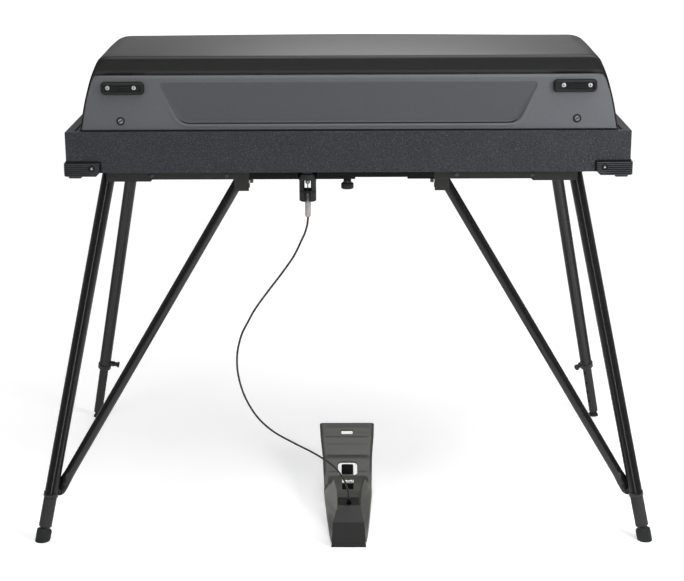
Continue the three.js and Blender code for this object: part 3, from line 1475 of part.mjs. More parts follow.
function springRing(step) {
  const centre = springCentre(step);
  const out = new THREE.Vector3(centre.x, centre.y, 0).normalize();
  return Array.from({ length: springSides }, (_, side) => {
    const around = 2 * Math.PI * side / springSides;
    return centre.clone().addScaledVector(out, springWire / 2 * Math.cos(around))
      .addScaledVector(upward, springWire / 2 * Math.sin(around));
  });
}

function springLeastGap(steps) {
  const rings = Array.from({ length: steps + 1 }, (_, step) => springRing(step));
  let least = Infinity;
  rings.forEach((ring, first) => {
    rings.slice(first + springStepsPerTurn / 2).forEach((other) => {
      for (const a of ring) for (const b of other) least = Math.min(least, a.distanceTo(b));
    });
  });
  return least;
}

function pedalSpring() {
  const steps = springTurns * springStepsPerTurn;
  const corners = [];
  for (let step = 0; step <= steps; step += 1) {
    springRing(step).forEach((corner) => corners.push(...corner.toArray()));
  }
  const faces = [];
  for (let step = 0; step < steps; step += 1) {
    for (let side = 0; side < springSides; side += 1) {
      const a = step * springSides + side;
      const b = step * springSides + (side + 1) % springSides;
      faces.push(a, b + springSides, b, a, a + springSides, b + springSides);
    }
  }
  const last = steps * springSides;
  for (let side = 1; side < springSides - 1; side += 1) {
    faces.push(0, side, side + 1, last, last + side + 1, last + side);
  }
  const geometry = new THREE.BufferGeometry();
  geometry.setAttribute('position', new THREE.Float32BufferAttribute(corners, 3));
  geometry.setIndex(faces);
  console.log(`spring: least gap to itself ${springLeastGap(steps).toFixed(2)} mm`);
  return solid(geometry).translate([0, springR, 0]);
}
pedal.add(meshOf('pedal_spring', pedalSpring(), brightSteel, 0.3, 0.9));

export default piano;
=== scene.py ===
"""Stage electric piano with its sustain pedal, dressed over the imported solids.

Each section is one piece of the real piano: what it is, its sizes, its shape, its finish and the
body that it moves with. Shapes are worked out in millimetres from the origin that the section names.
"""
import math

import bmesh
import bpy
import numpy as np
from mathutils import Euler, Matrix, Vector


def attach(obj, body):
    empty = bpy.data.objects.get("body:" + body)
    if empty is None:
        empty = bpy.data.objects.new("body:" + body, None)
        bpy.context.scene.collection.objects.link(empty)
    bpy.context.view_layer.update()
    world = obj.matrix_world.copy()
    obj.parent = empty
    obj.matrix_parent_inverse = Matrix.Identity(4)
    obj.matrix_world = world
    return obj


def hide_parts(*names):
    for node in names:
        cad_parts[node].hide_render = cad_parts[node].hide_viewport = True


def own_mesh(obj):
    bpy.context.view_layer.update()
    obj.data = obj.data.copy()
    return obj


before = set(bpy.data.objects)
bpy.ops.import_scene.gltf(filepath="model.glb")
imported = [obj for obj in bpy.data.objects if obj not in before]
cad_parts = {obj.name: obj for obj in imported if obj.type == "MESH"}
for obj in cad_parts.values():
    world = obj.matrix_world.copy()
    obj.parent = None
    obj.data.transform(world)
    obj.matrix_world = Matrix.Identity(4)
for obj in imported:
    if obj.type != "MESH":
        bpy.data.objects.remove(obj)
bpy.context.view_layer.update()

# Camera: it stands 3.2 m behind the piano at standing eye height and looks down by 16 degrees,
# a hair to the left, through a long lens.
lens_data = bpy.data.cameras.new("camera")
lens_data.lens = 84.23
lens_data.sensor_width = 36.0
lens_data.sensor_fit = "HORIZONTAL"
lens_data.shift_x = -0.0031
lens_data.clip_start = 0.05
camera = bpy.data.objects.new("camera", lens_data)
bpy.context.scene.collection.objects.link(camera)
yaw = Euler((0, 0, math.radians(0.52))).to_matrix()
tilt = Euler((math.radians(73.917), 0, 0)).to_matrix()
roll = Euler((0, 0, math.radians(-0.30))).to_matrix()
eye = Matrix.Translation((0.0331, -3.4874, 1.4521))
camera.matrix_world = eye @ (yaw @ tilt @ roll).to_4x4()
bpy.context.scene.camera = camera
bpy.context.scene.view_settings.view_transform = "Standard"


# Sustain cable: a steel inner wire in a black PVC sheath, 4.2 mm thick, pushed into the adjuster
# under the case and into the pedal's gland. It hangs in one free curve of 0.77 m.
def linear(colour):
    """Linear red, green, blue and alpha of an sRGB hex colour."""
    shares = np.array([int(colour[place:place + 2], 16) for place in (1, 3, 5)]) / 255
    low, high = shares / 12.92, ((shares + 0.055) / 1.055) ** 2.4
    return (*np.where(shares <= 0.04045, low, high).tolist(), 1.0)


def add(tree, kind, inputs=(), **settings):
    """Adds one node: settings are its properties, and inputs are values or sockets for its inputs."""
    node = tree.nodes.new("ShaderNode" + kind)
    for name, value in settings.items():
        setattr(node, name, value)
    for socket, value in dict(inputs).items():
        if isinstance(value, bpy.types.NodeSocket):
            tree.links.new(value, node.inputs[socket])
        else:
            node.inputs[socket].default_value = value
    return node


def new_finish(name, colour, roughness, **sockets):
    """A material whose shader has this colour, roughness and more on its own sockets, where an
    underscore stands for the space in a socket's name. Returns the material, its node tree, its
    shader and the socket with the object's coordinates."""
    made = bpy.data.materials.new(name)
    made.use_nodes = True
    tree = made.node_tree
    shader = tree.nodes["Principled BSDF"]
    values = {"Base Color": linear(colour), "Roughness": roughness, **sockets}
    for socket, value in values.items():
        shader.inputs[socket.replace("_", " ")].default_value = value
    return made, tree, shader, add(tree, "TexCoord").outputs["Object"]


def mottled(name, colour, roughness, grain, dark, light, rough, bump=0.0, stretch=(1, 1, 1),
            **sockets):
    """A finish with noise of a grain in metres, stretched along the axes, that mixes two colours.
    rough is the roughness in the hollows and on the heights, and bump the grain's height in metres."""
    made, tree, shader, place = new_finish(name, colour, roughness, **sockets)
    scaled = add(tree, "Mapping", {"Vector": place, "Scale": stretch}).outputs[0]
    noise = add(tree, "TexNoise", {"Vector": scaled, "Scale": 1 / grain, "Detail": 4.0}).outputs[0]
    spread = add(tree, "MapRange", {"Value": noise, "From Min": 0.3, "From Max": 0.7}).outputs[0]
    mixed = add(tree, "Mix", {0: spread, 6: linear(dark), 7: linear(light)}, data_type="RGBA")
    tree.links.new(mixed.outputs[2], shader.inputs["Base Color"])
    ranged = add(tree, "MapRange", {"Value": noise, "To Min": rough[0], "To Max": rough[1]})
    tree.links.new(ranged.outputs[0], shader.inputs["Roughness"])
    if bump:
        raised = add(tree, "Bump", {"Height": noise, "Distance": bump, "Strength": 1.0})
        tree.links.new(raised.outputs[0], shader.inputs["Normal"])
    return made


def net(points, wrap_u=False, wrap_v=False, caps=False):
    """Corners and quads of a grid: point (i, j) joins (i + 1, j), (i + 1, j + 1) and (i, j + 1).
    wrap_u and wrap_v join the last row or column to the first, and caps close both end rows."""
    rows, columns = points.shape[:2]
    index = np.arange(rows * columns).reshape(rows, columns)
    across = np.hstack([index, index[:, :1]]) if wrap_v else index
    grid = np.vstack([across, across[:1]]) if wrap_u else across
    corners = [grid[:-1, :-1], grid[:-1, 1:], grid[1:, 1:], grid[1:, :-1]]
    faces = np.stack(corners, -1).reshape(-1, 4).tolist()
    if caps:
        faces += [index[0][::-1].tolist(), index[-1].tolist()]
    return points.reshape(-1, 3), faces


def shown(name, parts, origin, body, finish, replaces=(), closed=True, sharp=40):
    """One piece made of nets in millimetres, moved to its origin in metres. Closed nets get their
    faces turned outwards. Edges sharper than the angle in degrees stay sharp."""
    corners, faces, count = [], [], 0
    for points, quads in parts:
        corners.append(points)
        faces += [[count + corner for corner in quad] for quad in quads]
        count += len(points)
    mesh = bpy.data.meshes.new(name)
    mesh.from_pydata(np.concatenate(corners) / 1000 + np.array(origin), [], faces)
    if closed:
        shell = bmesh.new()
        shell.from_mesh(mesh)
        bmesh.ops.recalc_face_normals(shell, faces=shell.faces)
        shell.to_mesh(mesh)
        shell.free()
    mesh.materials.append(finish)
    mesh.shade_smooth()
    mesh.set_sharp_from_angle(angle=math.radians(sharp))
    piece = bpy.data.objects.new(name, mesh)
    bpy.context.scene.collection.objects.link(piece)
    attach(piece, body)
    if replaces:
        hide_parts(*replaces)
    return piece


def smooth_line(points, count):
    """A Catmull-Rom curve through the points, sampled at even steps of its own length. On each
    stretch a point is the cubic whose ends have half the chord of their neighbours as slope."""
    knots = np.vstack([2 * points[0] - points[1], points, 2 * points[-1] - points[-2]])
    share = np.linspace(0, 1, 24, endpoint=False)[:, None, None]
    a, b, c, d = knots[:-3], knots[1:-2], knots[2:-1], knots[3:]
    cubic = 2 * b + (c - a) * share + (2 * a - 5 * b + 4 * c - d) * share ** 2
    cubic = (cubic + (3 * b - a - 3 * c + d) * share ** 3) / 2
    dense = np.vstack([cubic.transpose(1, 0, 2).reshape(-1, 3), points[-1:]])
    run = np.concatenate([[0], np.cumsum(np.linalg.norm(np.diff(dense, axis=0), axis=1))])
    even = np.linspace(0, run[-1], count)
    return np.stack([np.interp(even, run, dense[:, axis]) for axis in range(3)], 1)


def tube(line, radius, sides=16):
    """Rings round a line: each point of a ring is the line's point plus the radius times the cosine
    of its angle along one cross direction and the sine along the other."""
    along = np.gradient(line, axis=0)
    along /= np.linalg.norm(along, axis=1)[:, None]
    first = np.cross(along, (0.0, 1.0, 0.0))
    first /= np.linalg.norm(first, axis=1)[:, None]
    second = np.cross(along, first)
    angle = np.linspace(0, 2 * np.pi, sides, endpoint=False)[None, :, None]
    radii = np.broadcast_to(radius, len(line))[:, None, None]
    rings = np.cos(angle) * first[:, None] + np.sin(angle) * second[:, None]
    return line[:, None] + radii * rings


cable_points = np.array([
    (-70.5, -246, 677.4), (-72.3, -246, 661), (-77.5, -246.7, 643), (-84.5, -248, 628),
    (-101, -253, 595), (-126, -260, 560), (-155, -271, 524), (-181, -281, 490), (-197, -288, 463),
    (-212, -294, 433), (-221, -301, 392), (-219, -305, 348), (-206, -307, 302), (-182, -306, 258),
    (-149, -302, 223), (-105, -297, 194), (-68, -292.5, 172), (-41, -289, 153), (-18, -286.5, 133),
    (-1, -285, 109), (9, -284.2, 82), (12, -284, 56.6)], float)
cable_line = smooth_line(cable_points, 260)
# Extruded PVC: black, a little soft in its gloss, with faint dust along it.
sheath_vinyl = mottled("sheath_vinyl", "#1d1d1c", 0.42, 0.004, "#191918", "#232322", (0.36, 0.5),
                       IOR=1.53)
cable = shown("sustain_cable", [net(tube(cable_line, 2.1), wrap_v=True, caps=True)], (0, 0, 0),
              "frame", sheath_vinyl, ["pedal_cable"])

# Room: a pale floor that runs back to the horizon, and five soft lights: over the piano, behind
# it, in front of it and at both sides. The camera sees white behind everything, while what shines
# mirrors a dimmer sky that is darkest at the camera's end.
floor_reach = 60.0
floor_mesh = bpy.data.meshes.new("floor")
floor_mesh.from_pydata([(-floor_reach, -floor_reach, 0), (floor_reach, -floor_reach, 0),
                        (floor_reach, floor_reach, 0), (-floor_reach, floor_reach, 0)], [],
                       [(0, 1, 2, 3)])
floor = bpy.data.objects.new("floor", floor_mesh)
bpy.context.scene.collection.objects.link(floor)
floor_paint, tree, shader, place = new_finish("floor_paint", "#ededed", 0.9)
rays = add(tree, "LightPath").outputs
seen = add(tree, "Math", {0: rays["Is Camera Ray"], 1: rays["Is Transmission Ray"]},
           operation="MAXIMUM").outputs[0]
away = add(tree, "VectorMath", {0: place}, operation="LENGTH").outputs["Value"]
level = add(tree, "MapRange", {"Value": away, "From Min": 1.0, "From Max": 7.0,
                               "To Min": 0.40, "To Max": 0.95}).outputs[0]
glow = add(tree, "Math", {0: seen, 1: level}, operation="MULTIPLY").outputs[0]
shader.inputs["Emission Color"].default_value = (1, 1, 1, 1)
tree.links.new(glow, shader.inputs["Emission Strength"])
floor_mesh.materials.append(floor_paint)

sky = bpy.data.worlds.new("sky")
bpy.context.scene.world = sky
sky.use_nodes = True
tree = sky.node_tree
rays = add(tree, "LightPath").outputs
seen = add(tree, "Math", {0: rays["Is Camera Ray"], 1: rays["Is Transmission Ray"]},
           operation="MAXIMUM").outputs[0]
toward = add(tree, "SeparateXYZ", {0: add(tree, "TexCoord").outputs["Generated"]}).outputs
aside = add(tree, "Math", {0: toward["X"]}, operation="ABSOLUTE").outputs[0]
dimmed = add(tree, "MapRange", {"Value": aside, "From Min": 0.04, "From Max": 0.3,
                                "To Min": 1.0, "To Max": 0.7}).outputs[0]
room = add(tree, "MapRange", {"Value": toward["Y"], "From Min": -0.7, "From Max": 0.3,
                              "To Min": 0.14, "To Max": 0.5}).outputs[0]
room = add(tree, "Math", {0: room, 1: dimmed}, operation="MULTIPLY").outputs[0]
strength = add(tree, "Mix", {0: seen, 2: room, 3: 1.0}).outputs[0]
tree.nodes["Background"].inputs["Color"].default_value = (1, 1, 1, 1)
tree.links.new(strength, tree.nodes["Background"].inputs["Strength"])

# Each lamp's place, what it points at, its size and its power. The side lamps don't show in what
# shines.
lamps = {
    "overhead": ((0.5, -0.9, 3.2), (0.0, -0.1, 0.8), (3.0, 2.0), 54.0),
    "behind": ((0.14, 3.0, 3.3), (0.0, 0.0, 1.0), (1.3, 1.5), 20.0),
    "front": ((0.0, -4.3, 1.4), (0.0, -0.3, 0.9), (0.7, 0.5), 4.5),
    "right_side": ((1.6, -1.45, 1.3), (0.4, -0.3, 0.85), (0.8, 1.2), 36.0),
    "left_side": ((-2.0, -1.9, 1.4), (-0.4, -0.3, 0.85), (0.9, 1.4), 18.0),
}
for lamp_name, (stand, aim, size, watts) in lamps.items():
    lamp_data = bpy.data.lights.new(lamp_name, "AREA")
    lamp_data.shape = "RECTANGLE"
    lamp_data.size, lamp_data.size_y = size
    lamp_data.energy = watts
    lamp = bpy.data.objects.new(lamp_name, lamp_data)
    bpy.context.scene.collection.objects.link(lamp)
    lamp.location = stand
    lamp.rotation_euler = (Vector(aim) - Vector(stand)).to_track_quat("-Z", "Y").to_euler()
    lamp.visible_glossy = lamp_name in ("overhead", "behind", "front")


# Case: a tray of glued plywood boards, wrapped in black grained vinyl that is folded over the
# rims. The key slip, a loose board along the front, is wrapped the same way.
def softened(node, name, radius, finish, body, steps=3, angle=28, cuts=(), paints=(), nudges=()):
    """A CAD node as its maker left it: a copy whose triangles are merged into flat faces and
    whose edges are rounded to a radius in millimetres. cuts are planes, as a point and a normal in
    metres, that split faces, paints pairs of a finish and a test of the faces' middles, and nudges
    pairs of a test of the corners and a shift in metres. Edges of small holes stay sharp."""
    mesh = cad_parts[node].data.copy()
    mesh.name = name
    mesh.materials.clear()
    mesh.materials.append(finish)
    shell = bmesh.new()
    shell.from_mesh(mesh)
    same_place, same_plane = 2e-6, math.radians(0.5)
    bmesh.ops.remove_doubles(shell, verts=shell.verts, dist=same_place)
    bmesh.ops.dissolve_limit(shell, angle_limit=same_plane, verts=shell.verts, edges=shell.edges)
    for point, normal in cuts:
        everything = [*shell.verts, *shell.edges, *shell.faces]
        bmesh.ops.bisect_plane(shell, geom=everything, plane_co=point, plane_no=normal)
    for face in shell.faces:
        face.material_index = 0
        face.smooth = True
    weight = shell.edges.layers.float.new("bevel_weight_edge")
    for edge in shell.edges:
        long_enough = edge.calc_length() > 2.2 * radius / 1000
        edge[weight] = float(long_enough and edge.calc_face_angle(0) > math.radians(angle))
    shell.to_mesh(mesh)
    shell.free()
    if nudges:
        corners = np.empty(3 * len(mesh.vertices))
        mesh.vertices.foreach_get("co", corners)
        corners = corners.reshape(-1, 3)
        for test, shift in nudges:
            corners[test(*corners.T)] += shift
        mesh.vertices.foreach_set("co", corners.ravel())
    if "custom_normal" in mesh.attributes:
        mesh.attributes.remove(mesh.attributes["custom_normal"])
    middles = np.empty(3 * len(mesh.polygons))
    mesh.polygons.foreach_get("center", middles)
    chosen = np.zeros(len(mesh.polygons), int)
    for index, (paint, test) in enumerate(paints, 1):
        mesh.materials.append(paint)
        chosen[test(*middles.reshape(-1, 3).T)] = index
    mesh.polygons.foreach_set("material_index", chosen.astype(np.int32))
    piece = bpy.data.objects.new(name, mesh)
    bpy.context.scene.collection.objects.link(piece)
    edges = piece.modifiers.new("rounded_edges", "BEVEL")
    edges.width = radius / 1000
    edges.segments = steps
    edges.limit_method = "WEIGHT"
    edges.harden_normals = True
    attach(piece, body)
    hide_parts(node)
    return piece


# Grained vinyl: a calendered PVC skin, embossed with pebbles about 2.4 mm across and finer creases. It
# is dull, and the raised ridges of its grain are painted lighter as glints where they would turn to the
# light.
grained_vinyl, tree, shader, place = new_finish("grained_vinyl", "#2c2d30", 0.6, IOR=1.5,
                                                Specular_IOR_Level=0.35)
pebble_size, crease_size, patch_size = 0.0024, 0.0035, 0.05
pebbles = add(tree, "TexVoronoi", {"Vector": place, "Scale": 1 / pebble_size}, feature="SMOOTH_F1")
patches = add(tree, "TexNoise", {"Vector": place, "Scale": 1 / patch_size, "Detail": 5.0}).outputs[0]
creases = add(tree, "TexNoise", {"Vector": place, "Scale": 1 / crease_size, "Detail": 3.0}).outputs[0]
depth = add(tree, "Math", {0: pebbles.outputs["Distance"], 1: creases}, operation="MULTIPLY")
mixed = add(tree, "Mix", {0: patches, 6: linear("#1f2023"), 7: linear("#2c2d31")}, data_type="RGBA")
# Painted glints: the higher the grain, the more its colour is mixed towards a lighter grey.
grain_glint = add(tree, "MapRange", {"Value": depth.outputs[0], "From Min": 0.12, "From Max": 0.42})
grain = add(tree, "Mix", {0: grain_glint.outputs[0], 6: mixed.outputs[2], 7: linear("#3f4046")},
            data_type="RGBA")
tree.links.new(grain.outputs[2], shader.inputs["Base Color"])
skin = add(tree, "Bump", {"Height": depth.outputs[0], "Distance": 0.001, "Strength": 0.8})
tree.links.new(skin.outputs[0], shader.inputs["Normal"])
softened("case_body", "case_covered", 1.8, grained_vinyl, "frame", 4)
softened("key_slip", "key_slip_covered", 2.5, grained_vinyl, "frame", 4)

# Corner protectors: glass-filled nylon, screwed on over each lower corner, with six grooves that fade
# away from the corner and a square foot below. A near-black strip round each one's top and inner end is
# painted as the shadow of the gap to the covering.
case_at = (0.013, -0.284, 0.779)
case_half, case_depth = 575.0, 590.0


def slab(width, height, corner, levels, steps=8):
    """Rings of a rounded rectangle, one for each level of inset and height, capped: the corner's
    centre plus the corner radius times the cosine and sine of the angle round it."""
    angle = np.linspace(0, np.pi / 2, steps)
    quarter = np.stack([np.cos(angle), np.sin(angle)], 1)
    turns = [quarter, quarter[:, ::-1] * (-1, 1), -quarter, quarter[:, ::-1] * (1, -1)]
    corners = np.array([(1, 1), (-1, 1), (-1, -1), (1, -1)])
    rings = []
    for inset, level in levels:
        round_by = max(corner - inset, 0.05)
        reach = np.array([width, height]) / 2 - inset - round_by
        flat = np.vstack([corners[side] * reach + round_by * turns[side] for side in range(4)])
        rings.append(np.column_stack([flat, np.full(len(flat), level)]))
    return net(np.array(rings), wrap_v=True, caps=True)


def moved(part, shift, axes=None):
    """A net turned so that its own x, y and z run along three given axes, then shifted."""
    points, faces = part
    if axes is not None:
        points = points @ np.array(axes, float)
    return points + np.array(shift, float), faces


def turned(profile, start, direction, sides=48, hollow=False):
    """A profile of radius and distance turned about a line: the start plus the distance along the
    line plus the radius times the cosine and sine of the angle across it. A hollow one closes its
    profile on itself, as a pipe or a ring, and the others get a flat face at both ends."""
    profile = np.array(profile, float)
    axis = np.array(direction, float) / np.linalg.norm(direction)
    lead = np.array([0.0, 1.0, 0.0]) if abs(axis[1]) < 0.9 else np.array([1.0, 0.0, 0.0])
    first = np.cross(axis, lead)
    first /= np.linalg.norm(first)
    second = np.cross(axis, first)
    angle = np.linspace(0, 2 * np.pi, sides, endpoint=False)[None, :, None]
    ring = np.cos(angle) * first + np.sin(angle) * second
    points = np.array(start) + profile[:, 1, None, None] * axis + profile[:, 0, None, None] * ring
    return net(points, wrap_u=hollow, wrap_v=True, caps=not hollow)


outward = [(1, 0, 0), (0, 0, 1), (0, -1, 0)]
to_rear, straight_up = (0, -1, 0), (0, 0, 1)


def screw_head(radius, proud, place):
    """A round-headed cross screw that faces the rear, as a dome with a cross sunk into it."""
    dome = [(radius, 0), (radius, 0.25 * proud), (0.86 * radius, 0.62 * proud),
            (0.6 * radius, 0.88 * proud), (0.3 * radius, proud), (0.02, proud)]
    return turned(dome, place, to_rear, 24)


def screw_cross(radius, proud, place):
    """Two thin bars that lie on a screw head as its cross."""
    bar = [(0, 0), (0, 0.2), (0.1, 0.3)]
    long, wide = 1.3 * radius, 0.3 * radius
    shift = np.array(place) + (0, -proud + 0.12, 0)
    return [moved(slab(*sides, 0.1, bar, 2), shift, outward) for sides in ((long, wide), (wide, long))]


protector_length, protector_low, protector_high = 73.0, -6.5, 24.0
# The moulding stands past the case's end by protector_past and turns about the corner's radius.
protector_past, corner_turn, protector_reach = 4.3, 5.0, 5.6
rib_pitch, groove_deep, groove_run, groove_fade = 4.1, 1.6, 56.0, 14.0


def protector_corner():
    """Points of the plan's quarter circle, the corner's centre plus the radius times the sine and
    minus the cosine of the angle, with the directions outwards at them."""
    angle = np.linspace(0, np.pi / 2, 12)
    out = np.column_stack([np.sin(angle), -np.cos(angle)])
    return np.array([case_half - corner_turn, corner_turn]) + corner_turn * out, out


def protector_lip(inner, outer, low, high):
    """A flat strip round the plan line of the protector: the rear face, the corner's quarter circle
    and the end, from one distance outside the case to another and between two heights."""
    arc, arc_out = protector_corner()
    out = np.vstack([[(0, -1)], arc_out, [(1, 0)]])
    line = np.vstack([[(case_half - protector_length + protector_past, 0)], arc,
                      [(case_half, protector_length - protector_past)]])
    ring = np.array([(inner, low), (outer, low), (outer, high), (inner, high)])
    plan = line[:, None] + out[:, None] * ring[:, :1]
    heights = np.broadcast_to(ring[:, 1:], (len(line), len(ring), 1))
    return net(np.concatenate([plan, heights], 2), wrap_v=True, caps=True)


def protector_shell():
    """The rear right protector. A plan line runs along the rear face, round the corner on a
    quarter circle and along the end, and each point of an upright profile lies its own distance
    outside that line. Grooves are subtracted near the corner, and the low corners are sheared
    towards the middle."""
    straight = np.linspace(protector_length, 2, 40)
    rear = np.column_stack([case_half - straight + protector_past, np.zeros(40)])
    end = np.column_stack([np.full(40, case_half), straight[::-1] - protector_past + corner_turn])
    keep = rear[:, 0] < case_half - corner_turn
    line = np.vstack([rear[keep], protector_corner()[0], end[end[:, 1] > corner_turn]])
    ahead = np.gradient(line, axis=0)
    ahead /= np.linalg.norm(ahead, axis=1)[:, None]
    out = np.column_stack([ahead[:, 1], -ahead[:, 0]])
    heights = np.linspace(protector_high - 5.0, protector_low + 1.6, 70)
    face = np.column_stack([np.full(70, protector_reach), heights])
    top = [(0.3, protector_high - 3.6), (4.5, protector_high - 3.6), (5.3, protector_high - 4.2)]
    low = [(5.1, protector_low + 0.5), (4.0, protector_low), (0.3, protector_low)]
    profile = np.vstack([top, face, low])
    groove = np.cos(2 * np.pi * (profile[:, 1] - protector_low) / rib_pitch)
    groove = np.clip((groove - 0.2) / 0.5, 0, 1)
    groove[profile[:, 0] < protector_reach] = 0
    run = np.concatenate([[0], np.cumsum(np.linalg.norm(np.diff(line, axis=0), axis=1))])
    corner_row = np.argmin(np.abs(line[:, 0] - line[:, 1] - case_half + corner_turn * 0.3))
    fade = np.clip((groove_run - np.abs(run - run[corner_row])) / groove_fade, 0, 1)
    reach = profile[None, :, 0] - groove_deep * groove[None] * fade[:, None]
    low_by = np.clip(protector_low + 8 - profile[:, 1], 0, 8)
    lean = np.clip(1 - run / 14, 0, 1) - np.clip((run - run[-1]) / 14 + 1, 0, 1)
    shear = lean[:, None] * low_by
    plan = line[:, None] + out[:, None] * reach[..., None]
    plan = plan + ahead[:, None] * shear[..., None]
    upright = np.broadcast_to(profile[:, 1:], (len(line), len(profile), 1))
    return net(np.concatenate([plan, upright], 2), wrap_v=True, caps=True)


under_levels = [(1.2, protector_low), (0, protector_low + 1.2), (0, -1.2), (0.8, -0.3)]
foot_levels = [(1.5, -11.0), (0.3, -10.2), (0, -9), (0, -5.2)]
protector_parts = [protector_shell(),
                   moved(slab(62, 62, 8, under_levels), (case_half - 31.2, 30.6, 0)),
                   moved(slab(26, 26, 3, foot_levels), (case_half - 17, 13, 0))]
screw_place = (case_half - 53.0, -5.5, 10.5)
# Painted shade: a near-black ring round each protector's screw head.
screw_shade_ring = turned([(4.4, 0), (4.4, 0.8), (6.2, 0.8), (6.6, 0.4), (6.6, 0)],
                   np.array(screw_place) + (0, 0.1, 0), to_rear, 28)
inner_strip = slab(3.6, 23, 0.5, [(0, 0), (0, 1.2)], 2)
protector_shadow_parts = [protector_lip(0.1, 1.6, protector_high - 3.9, protector_high + 0.9), screw_shade_ring,
                    moved(inner_strip, (case_half - protector_length + 2.6, 0, 12.4), outward)]
# Ribbed nylon: satin black. Its ridges are painted a lighter grey as their highlight at each pitch of
# the ribs, and the grooves between them are painted near black as their shade.
ribbed_nylon, tree, shader, place = new_finish("ribbed_nylon", "#26272a", 0.46, IOR=1.53)
wave_scale = math.pi / 10 / (rib_pitch / 1000)
wave_phase = -2 * math.pi * (case_at[2] * 1000 + protector_low) / rib_pitch
ribs = add(tree, "TexWave", {"Vector": place, "Scale": wave_scale, "Phase Offset": wave_phase},
           bands_direction="Z", wave_profile="SIN").outputs["Fac"]
# Painted highlight on the ridges and painted shade in the grooves, following the wave of the ribs.
rib_light_and_shade = add(tree, "Mix", {0: ribs, 6: linear("#0c0d0e"), 7: linear("#323438")}, data_type="RGBA")
tree.links.new(rib_light_and_shade.outputs[2], shader.inputs["Base Color"])
# Moulded nylon: near black and satin, with a fine spark-eroded grain from the mould.
moulded_nylon = mottled("moulded_nylon", "#1f2022", 0.48, 0.0015, "#1b1c1e", "#252628", (0.4, 0.56),
                        0.00006, IOR=1.53)
# Zinc-plated steel screws: bright, a little scratched by the driver. As the cross on the dark protector
# screws it is a painted glint.
plated_steel_and_glint = mottled("plated_steel_and_glint", "#efeeea", 0.3, 0.0008, "#e2e1dc", "#f7f6f3", (0.24, 0.42),
                       0.00003, Metallic=0.4)
# Black oxide screws: dark steel that still glints. Laid as a cross on the bright bumper screws, it is
# painted shade in their recesses.
oxide_steel_and_shade = mottled("oxide_steel_and_shade", "#5a5b5e", 0.32, 0.0008, "#4a4b4e", "#6c6d71", (0.26, 0.46),
                      0.00003, Metallic=0.9)
# Painted shadow: a near-black, dull strip for the gap between each protector and the covering, and a
# near-black ring of shade round its screw.
gap_shadow_black = mottled("gap_shadow_black", "#060607", 0.8, 0.001, "#040405", "#0a0a0b", (0.7, 0.9),
                      0.0001, IOR=1.5)
# On the protector screws the head is dark oxide, and the bright plated cross on it is a painted glint.
protector_pieces = (
    ("", protector_parts, ribbed_nylon),
    ("gasket_", protector_shadow_parts, gap_shadow_black),
    ("screw_", [screw_head(3.8, 1.8, screw_place)], oxide_steel_and_shade),
    ("cross_", screw_cross(3.4, 1.8, screw_place), plated_steel_and_glint))
for end_name, across in (("rear", 1), ("front", -1)):
    for side_name, side in (("right", 1), ("left", -1)):
        flip = np.array([side, across, 1.0])
        shift = np.array([0, 0 if across == 1 else case_depth, 0])
        for kind, parts, metal in protector_pieces:
            flipped = [(points * flip + shift, faces) for points, faces in parts]
            replaced = [] if kind else [f"corner_protector_{end_name}_{side_name}"]
            shown(f"protector_{kind}{end_name}_{side_name}", flipped, case_at, "frame", metal,
                  replaced)

# Hood: one vacuum-formed black ABS shell with 4 mm walls. It has a flared foot, leaning sides, a
# soft crease above the rear band, a domed top and a front lip that rolls down behind the controls.
hood_wall = 4.0
# Heights over the case's underside with the shell's half width there: a flare, then a slow bulge.
hood_widths = np.array([(75, 551.3), (81.3, 549), (91, 545.8), (103, 543.4), (122, 540), (141, 536),
                        (160, 531), (179, 525.5), (195, 520.2), (208, 515), (220, 509.6),
                        (260, 489.6)])
hood_foot = 81.3


def hood_half(height, ease=5.0):
    """Half width at a height: the mean of the straight stretches over a few millimetres."""
    steps = np.linspace(-ease, ease, 7)
    return np.mean([np.interp(height + step, *hood_widths.T) for step in steps], 0)


def hood_outline(top, foot, radius, columns=48):
    """The shell's cross-section: up the left side, round a corner whose control point lies where
    the side would meet the top, straight across, and down the other side. Rows for each top."""
    top, foot, radius = (np.atleast_1d(value)[:, None] for value in (top, foot, radius))
    share = np.linspace(0, 1, columns)[None] ** 1.25
    side_z = foot + (top - radius - foot) * share
    side_x = hood_half(side_z)
    turn = np.linspace(0, 1, 12)[None, 1:]
    control = hood_half(top)
    end = control - 1.4 * radius
    round_x = (1 - turn) ** 2 * side_x[:, -1:] + 2 * turn * (1 - turn) * control + turn ** 2 * end
    round_z = (1 - turn) ** 2 * (top - radius) + (1 - (1 - turn) ** 2) * top
    across = np.linspace(1, 0, 30)[None, 1:]
    across_x, across_z = end * across, top + 0 * across
    half_x = np.hstack([side_x, round_x, across_x])
    half_z = np.hstack([side_z, round_z, across_z])
    x = np.hstack([-half_x, half_x[:, -2::-1]])
    return x, np.hstack([half_z, half_z[:, -2::-1]])


def bend(start, control, end, count):
    """Points of the curve (1 - t)² start + 2 t (1 - t) control + t² end, without its start."""
    t = np.linspace(0, 1, count + 1)[1:, None]
    return (1 - t) ** 2 * np.array(start) + 2 * t * (1 - t) * np.array(control) + t ** 2 * np.array(end)


